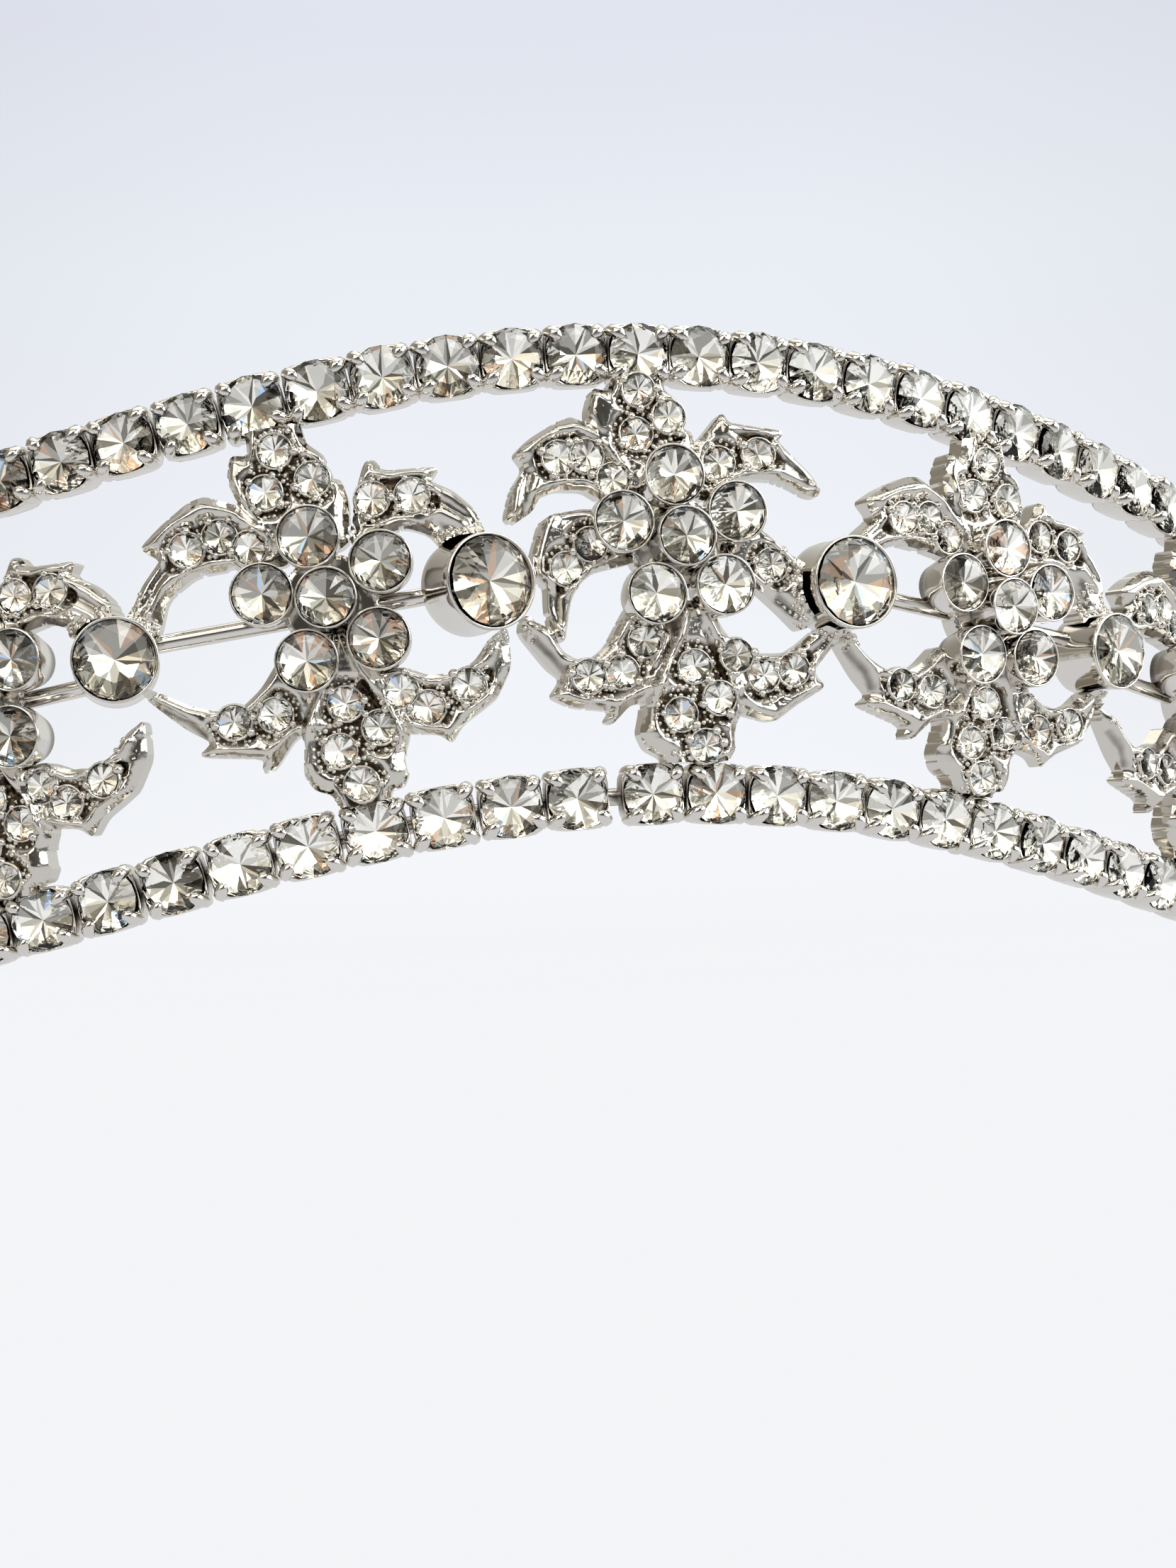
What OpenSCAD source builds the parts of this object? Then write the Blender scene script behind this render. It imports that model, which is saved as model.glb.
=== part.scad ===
// Paste tiara: two rows of cupped stones joined by pierced leaf castings with flower clusters.
// The front faces -Y, X is to the right, Z is up, and it stands on the lower row. Millimetres.

/* [Band] */
// Radius of the band at the lower row
band_radius = 79; // [70:0.5:90]
// Outward lean of the band in degrees
flare = 2; // [0:0.5:12]
// Height between the centre lines of the two rows
row_spacing = 25; // [20:0.5:32]
// How far the front rises above the surface that the sides rest on
arch_height = 8.8; // [0:0.2:14]
// Half of the length over which the front rises
arch_half = 60; // [50:1:90]
// Distance along the band from one leaf casting to the next
motif_pitch = 19.9; // [18:0.1:20.2]

/* [Rows of stones] */
// Stone spacing along the lower row
lower_pitch = 3.77; // [3.4:0.01:4.4]
// Stone spacing along the upper row
upper_pitch = 3.61; // [3.4:0.01:4.4]
// Radius of a row stone
row_stone_r = 1.7; // [1.2:0.02:1.8]
// Half height of a cup at its rim
cup_half = 1.75; // [1.4:0.05:2]
// Extra bare wire where the two lengths of the lower row meet
join_gap = 0.6; // [0:0.1:1]

/* [Flower and collets] */
// Radius of a flower stone
petal_stone_r = 1.62; // [1.4:0.02:1.8]
// Distance of the petals from the middle of the flower
petal_ring = 3.55; // [3.5:0.05:4.2]
// Radius of a large stone
large_stone_r = 2.5; // [2:0.05:3]
// Outer radius of the tube that holds a large stone
collet_r = 2.72; // [2.2:0.02:3.2]
// Size of the side tubes and their stones against the two in the middle
side_share = 0.88; // [0.8:0.02:1]

/* [Ends] */
// Radius of the hole in an end loop
loop_hole_r = 1.25; // [0.8:0.05:2]
// Thickness of an end loop
loop_thick = 1.6; // [1:0.1:3]
// Width of the plain upright at each end
end_plate = 2; // [1.6:0.1:3]

/* [Hidden] */

// the middle of the box round the whole part is moved to the origin
centre_x = 0;
centre_y = 41.201;
half_span = row_spacing / 2;
// the lowest cup corners, where the row starts to rise, just touch the surface
rest_lift = cup_half * cos(flare) + 0.012;
row_end = 118;
motif_count = 11;
centre_motif = (motif_count + 1) / 2;
// share of the row's slope that a casting follows
motif_follow = 0.72;
// the side tubes sit a little above half height, and a plain rod runs behind each flower
side_rise = 0.35;
rod_r = 0.5;
rod_half = 9.3;
silver = [0.78, 0.77, 0.74];
glassy = [0.88, 0.9, 0.93];

function turn_of(s) = s / band_radius * 180 / PI;
function lift(s) = abs(s) < arch_half ? arch_height * (1 + cos(180 * s / arch_half)) / 2 : 0;
function slope(s) = abs(s) < arch_half
    ? -atan(arch_height * PI / (2 * arch_half) * sin(180 * s / arch_half)) : 0;

// place things at arc length s and height v above the lower row: x along, y up, z outward
module at(s, v, turn = 0)
    translate([-centre_x, centre_y, 0]) rotate([0, 0, turn_of(s)])
        translate([0, -band_radius, rest_lift + lift(s)]) rotate([90 + flare, 0, 0])
            translate([0, v, 0]) rotate([0, 0, turn]) children();

// the same placing for one point of a swept row
function placed(s, v, p) =
    let (a = slope(s), b = turn_of(s),
        x = p[0] * cos(a) - p[1] * sin(a),
        y = p[0] * sin(a) + p[1] * cos(a) + v,
        wy = -band_radius - y * sin(flare) - p[2] * cos(flare),
        wz = rest_lift + lift(s) + y * cos(flare) - p[2] * sin(flare))
    [x * cos(b) - wy * sin(b) - centre_x, x * sin(b) + wy * cos(b) + centre_y, wz];

// stone places: a stone near the middle, then one pitch apart as far as both ends
row_first = -1.1;
function row_places(pitch, gap) =
    let (left = floor((row_end - cup_half + row_first - gap) / pitch),
        right = floor((row_end - cup_half - row_first) / pitch))
    [for (k = [-left : right]) row_first + k * pitch - (k < 0 ? gap : 0)];
lower_places = row_places(lower_pitch, join_gap);
upper_places = row_places(upper_pitch, 0);

// one row: a wire with a four-sided cup at each stone, swept as one closed skin
// sections per stone: wire end, cup start, cup end, wire start; four corners each,
// and one more section of bare wire at both ends of the row
cup_rim = -0.15;
cup_back = -2.4;
wire_front = -1.5;
wire_half = 0.6;
function cup_corner(side, k) =
    let (front = side * cup_half * 0.98, back = side * cup_half * 0.86, low = cup_half * 0.78)
    [[front, -cup_half, cup_rim], [front, cup_half, cup_rim],
        [back, low, cup_back], [back, -low, cup_back]][k];
function wire_corner(x, k) = [
    [x, -wire_half, wire_front], [x, wire_half, wire_front],
    [x, wire_half, cup_back + 0.1], [x, -wire_half, cup_back + 0.1]][k];

module row(places, v) {
    n = len(places);
    wire_x = cup_half * 0.98 + 0.02;
    rings = [for (i = [0 : n - 1]) for (j = [0 : 3]) for (k = [0 : 3])
        placed(places[i], v, j == 0 ? wire_corner(-wire_x, k) : j == 3 ? wire_corner(wire_x, k)
            : cup_corner(j == 1 ? -1 : 1, k))];
    first = [for (k = [0 : 3]) placed(-row_end, v, wire_corner(0, k))];
    last = [for (k = [0 : 3]) placed(row_end, v, wire_corner(0, k))];
    seats = [for (i = [0 : n - 1]) placed(places[i], v, [0, 0, -1.95])];
    m = 4 * n + 2;
    sides = [for (r = [0 : m - 2]) for (k = [0 : 3])
        let (a = 4 * r + k, b = 4 * r + (k + 1) % 4, c = a + 4, d = b + 4)
        if (!(r % 4 == 2 && k == 0)) each [[a, b, d], [a, d, c]]];
    pockets = [for (i = [0 : n - 1])
        let (a = 4 * (4 * i + 2), s = 4 * m + i)
        each [[a, a + 1, s], [a + 1, a + 5, s], [a + 5, a + 4, s], [a + 4, a, s]]];
    ends = [[0, 2, 1], [0, 3, 2], [4 * m - 4, 4 * m - 3, 4 * m - 2], [4 * m - 4, 4 * m - 2, 4 * m - 1]];
    polyhedron(concat(first, rings, last, seats), concat(sides, pockets, ends));
}

// a brilliant with an eight-sided table, eight crown and eight pavilion facets, girdle at z = 0
module stone(r, crown, depth) {
    top = [for (k = [0 : 7]) [0.6 * r * cos(45 * k + 22.5), 0.6 * r * sin(45 * k + 22.5), crown]];
    rim = [for (k = [0 : 7]) [r * cos(45 * k + 22.5), r * sin(45 * k + 22.5), 0]];
    polyhedron(concat(top, rim, [[0, 0, -depth]]), concat([[for (k = [7 : -1 : 0]) k]],
        [for (k = [0 : 7]) [k, (k + 1) % 8, 8 + (k + 1) % 8, 8 + k]],
        [for (k = [0 : 7]) [8 + k, 8 + (k + 1) % 8, 16]]));
}

// flower of one centre stone and five petals
petal_angles = [97, 25, -48, -118, 166];
flower_a = [1.2, 0.6];
flower_b = [0.5, 1.7];
petal_rim = 2.2;
heart_rim = 2.8;
plate_back = -0.9;
plate_front = 0.7;

// outlines of the leaves, read round by round from the photograph
top_leaf = [[-1.8, 12], [-1.8, 9.4], [-2.8, 9.6], [-3.2, 8.2], [-2.8, 6.8], [-2, 5], [-1, 3.4],
    [2.8, 3.4], [3.2, 6], [3, 7.2], [2.4, 7.4], [2.4, 8.6], [1.4, 9.6], [1.2, 12]];
bottom_leaf = [[-1.6, -5], [-1.6, -7.2], [-1.9, -8.5], [-1.5, -9.4], [-0.4, -10], [-0.2, -12],
    [2.4, -12], [2.6, -10.2], [3.4, -10.1], [3.8, -9.4], [3.8, -8.2], [4.2, -7.4], [3.8, -5]];
upper_left_a = [[-0.6, 3], [-1, 4.4], [-2.4, 6.6], [-4.6, 7.7], [-5.6, 7.5], [-7.4, 6.4], [-8.6, 5.4],
    [-7.6, 4.6], [-8.8, 3.4], [-9.6, 2.2], [-10.4, 0.4], [-8.4, 0.4], [-7.6, 2.4], [-5.8, 3.4], [-3.6, 3.4]];
upper_right_a = [[2.8, 3.2], [3.5, 6], [4.4, 8], [5, 8], [5.4, 7.3], [8.4, 7], [7.8, 6.3], [9, 5.5],
    [9.9, 4.4], [10.2, 3.4], [10.6, 1], [8.4, 0.6], [8, 2], [7.2, 3.4], [6, 4], [4.6, 3.8]];
lower_left_a = [[-10, -2], [-8.6, -2.8], [-7.4, -3.6], [-6, -4.2], [-4.6, -4.2], [-3.4, -3.4],
    [-2.2, -2], [-0.4, -3], [-0.6, -6.2], [-2, -6.4], [-3.4, -7.9], [-4.2, -8], [-3.9, -7.2],
    [-7.4, -6.5], [-6.6, -5.8], [-7.8, -4.9], [-9.4, -3.2]];
lower_right_a = [[2.4, -3.4], [4.6, -3.6], [5.8, -4.3], [7.2, -4.4], [8.4, -4], [9.4, -3], [10.6, -2.4],
    [10.4, -4.6], [9.3, -6.2], [8.4, -6.7], [7.2, -7.3], [6.4, -8.2], [5.8, -7.6], [3.8, -7.2], [2.8, -6]];
upper_left_b = [[-1.4, 4.4], [-3.6, 4], [-4.6, 4.6], [-6.2, 4.6], [-7.2, 4.2], [-7.6, 3.4], [-8.8, 2.6],
    [-9.2, 3], [-8.8, 4.6], [-8, 5.8], [-8.6, 6.6], [-7.8, 7.4], [-6.2, 8.4], [-5.2, 8.8], [-3.6, 8],
    [-1.4, 6.4]];
upper_right_b = [[1.6, 4.4], [1.8, 7.2], [2.6, 8], [3.6, 9.2], [4.2, 8.6], [7.4, 8.2], [7, 7.6], [8, 6.6],
    [9.2, 5.4], [9.4, 4.6], [7.8, 5], [6.6, 5.4], [5, 5.4], [3.8, 5], [2.8, 4]];
middle_left_b = [[-1.6, 3.2], [-4.6, 3.6], [-6.6, 3.2], [-7.2, 2.8], [-7.8, 0.8], [-7.8, -0.4], [-7, -0.8],
    [-7, -2], [-6.8, -3.4], [-6, -4], [-5.6, -1.6], [-5, -0.6], [-4.2, 0], [-1.6, 0.6]];
middle_right_b = [[4, 3.2], [5.8, 2.6], [7.8, 0.8], [8.8, -0.4], [9.4, -1.4], [9, -2.6], [8, -3.4],
    [6.8, -2.2], [5, -0.6], [3, 0.6]];
lower_left_b = [[-8.4, -2.4], [-6.8, -3.2], [-6.2, -4.4], [-5.4, -4.9], [-4.4, -4.8], [-3.6, -4.2],
    [-2.8, -2.8], [-2.2, -1.8], [0, -2.4], [0, -7.4], [-2.2, -7.4], [-3.4, -8.6], [-3.8, -8.4],
    [-3.4, -7.8], [-5.6, -7.6], [-6.9, -7], [-6.2, -6], [-7, -5.4], [-8.6, -3.4]];
lower_right_b = [[1.6, -2.4], [2.8, -2.6], [3.6, -3.8], [5, -4.6], [7, -4.6], [8, -4], [9, -3.2],
    [10.4, -2.8], [10.2, -4], [8.8, -5.6], [9.4, -6.6], [7.6, -7.6], [6.2, -8.6], [4, -8], [2, -6.2]];

module leaf_outline(centre) {
    if (centre) {
        translate([-1.2, 0.8]) polygon(top_leaf);
        translate([0, -0.6]) polygon(bottom_leaf);
        polygon(upper_left_b);
        polygon(upper_right_b);
        polygon(middle_left_b);
        polygon(middle_right_b);
        polygon(lower_left_b);
        polygon(lower_right_b);
    } else {
        polygon(top_leaf);
        polygon(bottom_leaf);
        polygon(upper_left_a);
        polygon(upper_right_a);
        polygon(lower_left_a);
        polygon(lower_right_a);
    }
}

function flower_place(centre) = centre ? flower_b : flower_a;
function petal_place(centre, k) =
    flower_place(centre) + petal_ring * [cos(petal_angles[k]), sin(petal_angles[k])];

module cup(r, rim)
    difference() {
        translate([0, 0, plate_back]) cylinder(h = rim - plate_back - 0.1, r = r + 0.13, $fn = 24);
        translate([0, 0, rim - 1.7]) cylinder(h = 2, r = r + 0.05, $fn = 24);
    }

// one soldered casting; the tubes beside it keep a small gap
module casting(i) {
    s = (i - centre_motif) * motif_pitch;
    centre = i == centre_motif;
    reach = half_span * cos(slope(s)) - cup_half - 0.25;
    difference() {
        at(s, half_span, slope(s) * motif_follow) union() {
            difference() {
                translate([0, 0, plate_back]) linear_extrude(plate_front - plate_back) union() {
                    intersection() {
                        leaf_outline(centre);
                        square([motif_pitch - 0.8, 2 * reach], center = true);
                    }
                    translate(flower_place(centre)) circle(r = 2.7, $fn = 12);
                }
                for (k = [0 : 4]) translate(petal_place(centre, k))
                    translate([0, 0, petal_rim - 1.7]) cylinder(h = 3, r = petal_stone_r + 0.05, $fn = 24);
            }
            for (k = [0 : 4]) translate(petal_place(centre, k)) cup(petal_stone_r, petal_rim);
            translate(flower_place(centre)) cup(petal_stone_r - 0.05, heart_rim);
            if (!centre) translate([-rod_half, 0.1, -0.4]) rotate([0, 90, 0])
                cylinder(h = 2 * rod_half, r = rod_r, $fn = 12);
        }
        for (k = [i, i + 1]) collet_axis(k)
            translate([0, 0, -3]) cylinder(h = 8, r = collet_r * share(k) + 0.1, $fn = 48);
    }
}

module flowers()
    for (i = [1 : motif_count]) {
        s = (i - centre_motif) * motif_pitch;
        centre = i == centre_motif;
        at(s, half_span, slope(s) * motif_follow) {
            translate(concat(flower_place(centre), [heart_rim])) stone(petal_stone_r - 0.05, 0.55, 1.5);
            for (k = [0 : 4]) translate(concat(petal_place(centre, k), [petal_rim]))
                stone(petal_stone_r, 0.55, 1.5);
        }
    }

collet_rim = 2.4;
function collet_place(i) = (i - 1 - motif_count / 2) * motif_pitch;

// the two middle tubes, 6 and 7, are larger than the others and sit at half height
function middle(i) = i == 6 || i == 7;
function share(i) = middle(i) ? 1 : side_share;
function rise(i) = middle(i) ? 0 : side_rise;

// soldered by hand: on the photographed band three tubes are shifted along the band,
// and two of them are bent round to the right by these angles
collet_shifts = [0, 0, 0, 0, -0.84, -0.91, 0.63, 0, 0, 0, 0, 0];
collet_turns = [0, 0, 0, 0, 18, 22, 0, 0, 0, 0, 0, 0];
collet_pivot = 0.4;
module collet_axis(i)
    at(collet_place(i) + collet_shifts[i - 1], half_span + rise(i))
        translate([0, 0, collet_pivot]) rotate([0, collet_turns[i - 1], 0])
            translate([0, 0, -collet_pivot]) children();

// tube from its back to its rim, hollow but for a thin floor
collet_back = -1;
collet_floor = 0.5;
module collet(i)
    collet_axis(i) difference() {
        translate([0, 0, collet_back])
            cylinder(h = collet_rim - collet_back, r = collet_r * share(i), $fn = 48);
        translate([0, 0, collet_back + collet_floor])
            cylinder(h = 5, r = large_stone_r * share(i) + 0.05, $fn = 48);
    }

module large_stone(i)
    collet_axis(i) translate([0, 0, collet_rim + 0.05])
        stone(large_stone_r * share(i), 0.75, 2.1);

// plain upright with a flat loop, closing the end of both rows, and a rod back to the last tube
end_rod = 6.1;
module end_loop(side)
    at(side * (row_end + 1), half_span) mirror([side < 0 ? 1 : 0, 0, 0]) {
        translate([0, 0, -loop_thick]) linear_extrude(loop_thick) difference() {
            union() {
                translate([-0.9, -half_span - cup_half]) square([end_plate, row_spacing + 2 * cup_half]);
                translate([end_plate + 1, 0]) circle(r = loop_hole_r + 1.25, $fn = 48);
            }
            translate([end_plate + 1, 0]) circle(r = loop_hole_r, $fn = 48);
        }
        translate([-0.9 - end_rod, side_rise, -0.5]) rotate([0, 90, 0])
            cylinder(h = end_rod + 0.5, r = rod_r, $fn = 12);
    }

module upper_row() color(silver) row(upper_places, row_spacing);
module lower_row() color(silver) row(lower_places, 0);
module upper_row_stones() color(glassy)
    for (s = upper_places) at(s, row_spacing, slope(s)) stone(row_stone_r, 0.5, 1.5);
module lower_row_stones() color(glassy)
    for (s = lower_places) at(s, 0, slope(s)) stone(row_stone_r, 0.5, 1.5);
module flower_stones() color(glassy) flowers();
module end_loop_left() color(silver) end_loop(-1);
module end_loop_right() color(silver) end_loop(1);

upper_row();
lower_row();
upper_row_stones();
lower_row_stones();
flower_stones();
for (i = [1 : 11]) color(silver) casting(i);
for (i = [1 : 12]) color(silver) collet(i);
for (i = [1 : 12]) color(glassy) large_stone(i);
end_loop_left();
end_loop_right();
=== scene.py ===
import math
from types import SimpleNamespace
import bpy
import numpy as np
from mathutils import Matrix, Vector


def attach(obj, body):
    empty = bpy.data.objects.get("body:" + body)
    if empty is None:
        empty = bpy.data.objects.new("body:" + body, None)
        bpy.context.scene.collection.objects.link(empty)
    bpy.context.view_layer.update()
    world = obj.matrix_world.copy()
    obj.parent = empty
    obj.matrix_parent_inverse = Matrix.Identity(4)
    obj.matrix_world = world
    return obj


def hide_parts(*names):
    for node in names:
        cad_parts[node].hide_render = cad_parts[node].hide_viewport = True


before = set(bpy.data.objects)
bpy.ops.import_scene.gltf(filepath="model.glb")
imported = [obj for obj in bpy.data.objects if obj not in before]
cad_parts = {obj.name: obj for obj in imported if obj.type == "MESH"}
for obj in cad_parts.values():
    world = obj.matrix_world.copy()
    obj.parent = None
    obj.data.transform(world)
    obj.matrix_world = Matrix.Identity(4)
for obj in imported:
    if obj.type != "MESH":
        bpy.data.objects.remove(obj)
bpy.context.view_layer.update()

# Paste tiara. Sizes below are millimetres; the meshes are written in metres.
# x runs along the band, y up the band and z outwards wherever a shape is drawn flat.
band = {"radius": 79.0, "lean": 2.0, "spacing": 25.0, "archHeight": 8.8, "archHalf": 60.0,
        "motifPitch": 19.9, "motifCount": 11, "slopeShare": 0.72, "cupHalf": 1.75, "rowEnd": 118.0,
        "lowerPitch": 3.77, "upperPitch": 3.61, "rowFirst": -1.1, "joinGap": 0.6,
        "centreX": 0.0, "centreY": 41.201, "restGap": 0.012}
mm = 0.001
lean = math.radians(band["lean"])
halfSpan = band["spacing"] / 2
restLift = band["cupHalf"] * math.cos(lean) + band["restGap"]
centreMotif = (band["motifCount"] + 1) // 2


# raised cosine: the height is archHeight at s = 0 and falls to nothing at s = archHalf
def liftAt(s):
    wave = band["archHeight"] * (1 + np.cos(np.pi * np.asarray(s) / band["archHalf"])) / 2
    return np.where(np.abs(s) < band["archHalf"], wave, 0.0)


# angle of the raised cosine, from its derivative
def slopeAt(s):
    wave = np.sin(np.pi * np.asarray(s) / band["archHalf"])
    steep = band["archHeight"] * np.pi / (2 * band["archHalf"]) * wave
    return np.where(np.abs(s) < band["archHalf"], -np.arctan(steep), 0.0)


# a flat drawn point is turned in its plane, raised by v, leaned out by the lean angle,
# set on the circle of the band and turned round it by s / radius
def onBand(points, s, v, turn=0.0):
    p = np.asarray(points, float)
    s = np.broadcast_to(np.asarray(s, float), p.shape[:-1])
    x = p[..., 0] * np.cos(turn) - p[..., 1] * np.sin(turn)
    y = p[..., 0] * np.sin(turn) + p[..., 1] * np.cos(turn) + v
    z = p[..., 2]
    out = -band["radius"] - y * math.sin(lean) - z * math.cos(lean)
    up = restLift + liftAt(s) + y * math.cos(lean) - z * math.sin(lean)
    around = s / band["radius"]
    return np.stack([x * np.cos(around) - out * np.sin(around) - band["centreX"],
                     x * np.sin(around) + out * np.cos(around) + band["centreY"], up], -1)


# stones one pitch apart from the first one, as far as both ends; the left length starts after the join
def rowPlaces(pitch, gap):
    left = math.floor((band["rowEnd"] - band["cupHalf"] + band["rowFirst"] - gap) / pitch)
    right = math.floor((band["rowEnd"] - band["cupHalf"] - band["rowFirst"]) / pitch)
    k = np.arange(-left, right + 1)
    return band["rowFirst"] + k * pitch - np.where(k < 0, gap, 0.0)


lowerPlaces = rowPlaces(band["lowerPitch"], band["joinGap"])
upperPlaces = rowPlaces(band["upperPitch"], 0.0)


# from nothing to one, along three times the square less twice the cube
def smoothStep(x):
    x = np.clip(x, 0, 1)
    return x * x * (3 - 2 * x)


# the cells of a grid of rows by columns, each a quad; closed in the second direction if asked
def gridFaces(rows, columns, closed=False):
    r = np.arange(rows - 1)[:, None]
    c = np.arange(columns if closed else columns - 1)[None, :]
    n = (c + 1) % columns
    quads = np.stack([r * columns + c, r * columns + n, (r + 1) * columns + n, (r + 1) * columns + c], -1)
    return quads.reshape(-1, 4)


# the two flat faces that close such a tube of rings at its first and last ring
def endFaces(rows, columns):
    ring = np.arange(columns)
    return np.stack([ring[::-1], ring + (rows - 1) * columns])


# many copies of one small shape: faces are repeated with the vertex numbers moved on
def copyFaces(faces, vertexCount, copies):
    step = (np.arange(copies) * vertexCount)[:, None, None]
    return (faces[None] + step).reshape(-1, faces.shape[1])


# each copy is scaled, spun about z, tipped about x and y, and moved
def scatter(shape, centres, scale=1.0, spin=0.0, tipX=0.0, tipY=0.0):
    n = len(centres)
    scale, spin, tipX, tipY = (np.broadcast_to(np.asarray(a, float), n)[:, None]
                               for a in (scale, spin, tipX, tipY))
    x, y, z = (shape[None, :, i] * scale for i in range(3))
    x, y = x * np.cos(spin) - y * np.sin(spin), x * np.sin(spin) + y * np.cos(spin)
    y, z = y * np.cos(tipX) - z * np.sin(tipX), y * np.sin(tipX) + z * np.cos(tipX)
    x, z = x * np.cos(tipY) + z * np.sin(tipY), -x * np.sin(tipY) + z * np.cos(tipY)
    return np.stack([x, y, z], -1) + np.asarray(centres, float)[:, None, :]


# a profile of (radius, height) turned about z in a number of steps
def turned(profile, steps):
    profile = np.asarray(profile, float)
    a = np.arange(steps) * 2 * np.pi / steps
    ring = np.stack([profile[:, None, 0] * np.cos(a), profile[:, None, 0] * np.sin(a),
                     np.broadcast_to(profile[:, None, 1], (len(profile), steps))], -1)
    return ring.reshape(-1, 3), gridFaces(len(profile), steps, True)


# parts are kept as (points, faces, material number, smooth, grime and painted shade, painted reflection tone)
# until they are joined
def keep(parts, points, faces, material=0, smooth=True, grimeAndShade=0.0, facetReflection=0.0):
    points = np.asarray(points, float).reshape(-1, 3)
    grimeAndShade = np.broadcast_to(np.asarray(grimeAndShade, float).reshape(-1), len(points))
    facetReflection = np.broadcast_to(np.asarray(facetReflection, float).reshape(-1), len(faces))
    parts.append((points, np.asarray(faces), material, smooth, grimeAndShade, facetReflection))


# joins the parts into one mesh, with grime and painted shade on its points and the foil's painted reflection
# tones on its faces, and sets it in the frame
def buildPiece(name, parts, materials, nodes=()):
    points, faces, numbers, smooth, grimeAndShade, facetReflection = zip(*parts)
    counts = [len(f) for f in faces]
    starts = np.cumsum([0] + [len(p) for p in points[:-1]])
    sizes = np.repeat([f.shape[1] for f in faces], counts)
    corners = np.concatenate([(f + start).ravel() for f, start in zip(faces, starts)])
    points = np.concatenate(points) * mm
    mesh = bpy.data.meshes.new(name)
    mesh.vertices.add(len(points))
    mesh.vertices.foreach_set("co", points.ravel())
    mesh.loops.add(len(corners))
    mesh.loops.foreach_set("vertex_index", corners.astype(np.int32))
    mesh.polygons.add(len(sizes))
    mesh.polygons.foreach_set("loop_start", (np.cumsum(sizes) - sizes).astype(np.int32))
    mesh.polygons.foreach_set("material_index", np.repeat(numbers, counts).astype(np.int32))
    mesh.polygons.foreach_set("use_smooth", np.repeat(smooth, counts))
    mesh.update(calc_edges=True)
    mesh.attributes.new("grimeAndShade", "FLOAT", "POINT").data.foreach_set("value", np.concatenate(grimeAndShade))
    mesh.attributes.new("facetReflection", "FLOAT", "FACE").data.foreach_set("value", np.concatenate(facetReflection))
    for material in materials:
        mesh.materials.append(material)
    piece = bpy.data.objects.new(name, mesh)
    bpy.context.collection.objects.link(piece)
    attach(piece, "root")
    if nodes:
        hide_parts(*nodes)
    return piece


def newTree(name):
    material = bpy.data.materials.new(name)
    material.use_nodes = True
    tree = material.node_tree
    tree.nodes.clear()
    return material, tree


def link(tree, source, target):
    tree.links.new(source, target)


# a new node with its settings. Each of its inputs gets a fixed value, or the output that feeds it
def addNode(tree, kind, inputs=(), **settings):
    node = tree.nodes.new(kind)
    for key, value in settings.items():
        setattr(node, key, value)
    for key, value in dict(inputs).items():
        if isinstance(value, bpy.types.NodeSocket):
            link(tree, value, node.inputs[key])
        else:
            node.inputs[key].default_value = value
    return node


def mathNode(tree, operation, *values, clamped=False):
    node = addNode(tree, "ShaderNodeMath", enumerate(values), operation=operation, use_clamp=clamped)
    return node.outputs[0]


def mixNode(tree, dataType, factor, a, b):
    inputs = {"Factor": factor, "A": a, "B": b}
    return addNode(tree, "ShaderNodeMix", inputs, data_type=dataType).outputs["Result"]


# a value is taken from one range to another, evenly or by a smooth step, and held inside it
def rangeNode(tree, value, reach, results=(0.0, 1.0), soft=False):
    inputs = {"Value": value, "From Min": reach[0], "From Max": reach[1],
              "To Min": results[0], "To Max": results[1]}
    kind = "SMOOTHSTEP" if soft else "LINEAR"
    return addNode(tree, "ShaderNodeMapRange", inputs, interpolation_type=kind).outputs["Result"]


# a colour ramp over a value, from (place, colour) pairs
def rampNode(tree, value, tones, kind="LINEAR"):
    node = addNode(tree, "ShaderNodeValToRGB", {"Fac": value})
    ramp = node.color_ramp
    ramp.interpolation = kind
    while len(ramp.elements) < len(tones):
        ramp.elements.new(0.5)
    for element, (place, colour) in zip(ramp.elements, tones):
        element.position = place
        element.color = (*colour, 1)
    return node.outputs["Color"]


# the material's surface is one Principled shader
def addPrincipled(tree, inputs):
    shader = addNode(tree, "ShaderNodeBsdfPrincipled", inputs)
    addNode(tree, "ShaderNodeOutputMaterial", {"Surface": shader.outputs["BSDF"]})


# a node group; an input without a fixed value is a vector, and every other socket is a plain number
def newGroup(name, inputs, outputs):
    group = bpy.data.node_groups.new(name, "ShaderNodeTree")
    for key, value in inputs.items():
        kind = "NodeSocketVector" if value is None else "NodeSocketFloat"
        socket = group.interface.new_socket(key, in_out="INPUT", socket_type=kind)
        if value is not None:
            socket.default_value = value
    for key in outputs:
        group.interface.new_socket(key, in_out="OUTPUT", socket_type="NodeSocketFloat")
    return group, group.nodes.new("NodeGroupInput"), group.nodes.new("NodeGroupOutput")


# scales are noise cells per metre, and the grain's depth is in metres. Each finish has its clean colour and
# roughness and those for tarnish and painted shade, the strength of its grain, and the size and spread of its
# tarnish patches
silver = {"patchDetail": 4, "maskReach": (0.3, 0.95), "cloudShare": 0.5,
          "grainScale": 3600, "grainDetail": 3, "grainDepth": 0.00003, "cleanGrain": 0.4}
finishes = {
    "castSilver": {"clean": (0.72, 0.69, 0.635), "tarnishedAndShaded": (0.07, 0.052, 0.034), "roughness": (0.04, 0.24),
                   "grain": 0.6, "patchScale": 500.0, "spread": 0.5},
    "smoothSilver": {"clean": (0.8, 0.77, 0.725), "tarnishedAndShaded": (0.08, 0.06, 0.04), "roughness": (0.05, 0.22),
                     "grain": 0.15, "patchScale": 350.0, "spread": 0.35},
    "cupSilver": {"clean": (0.82, 0.79, 0.74), "tarnishedAndShaded": (0.09, 0.06, 0.038), "roughness": (0.06, 0.28),
                  "grain": 0.35, "patchScale": 500.0, "spread": 0.5}}
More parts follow.
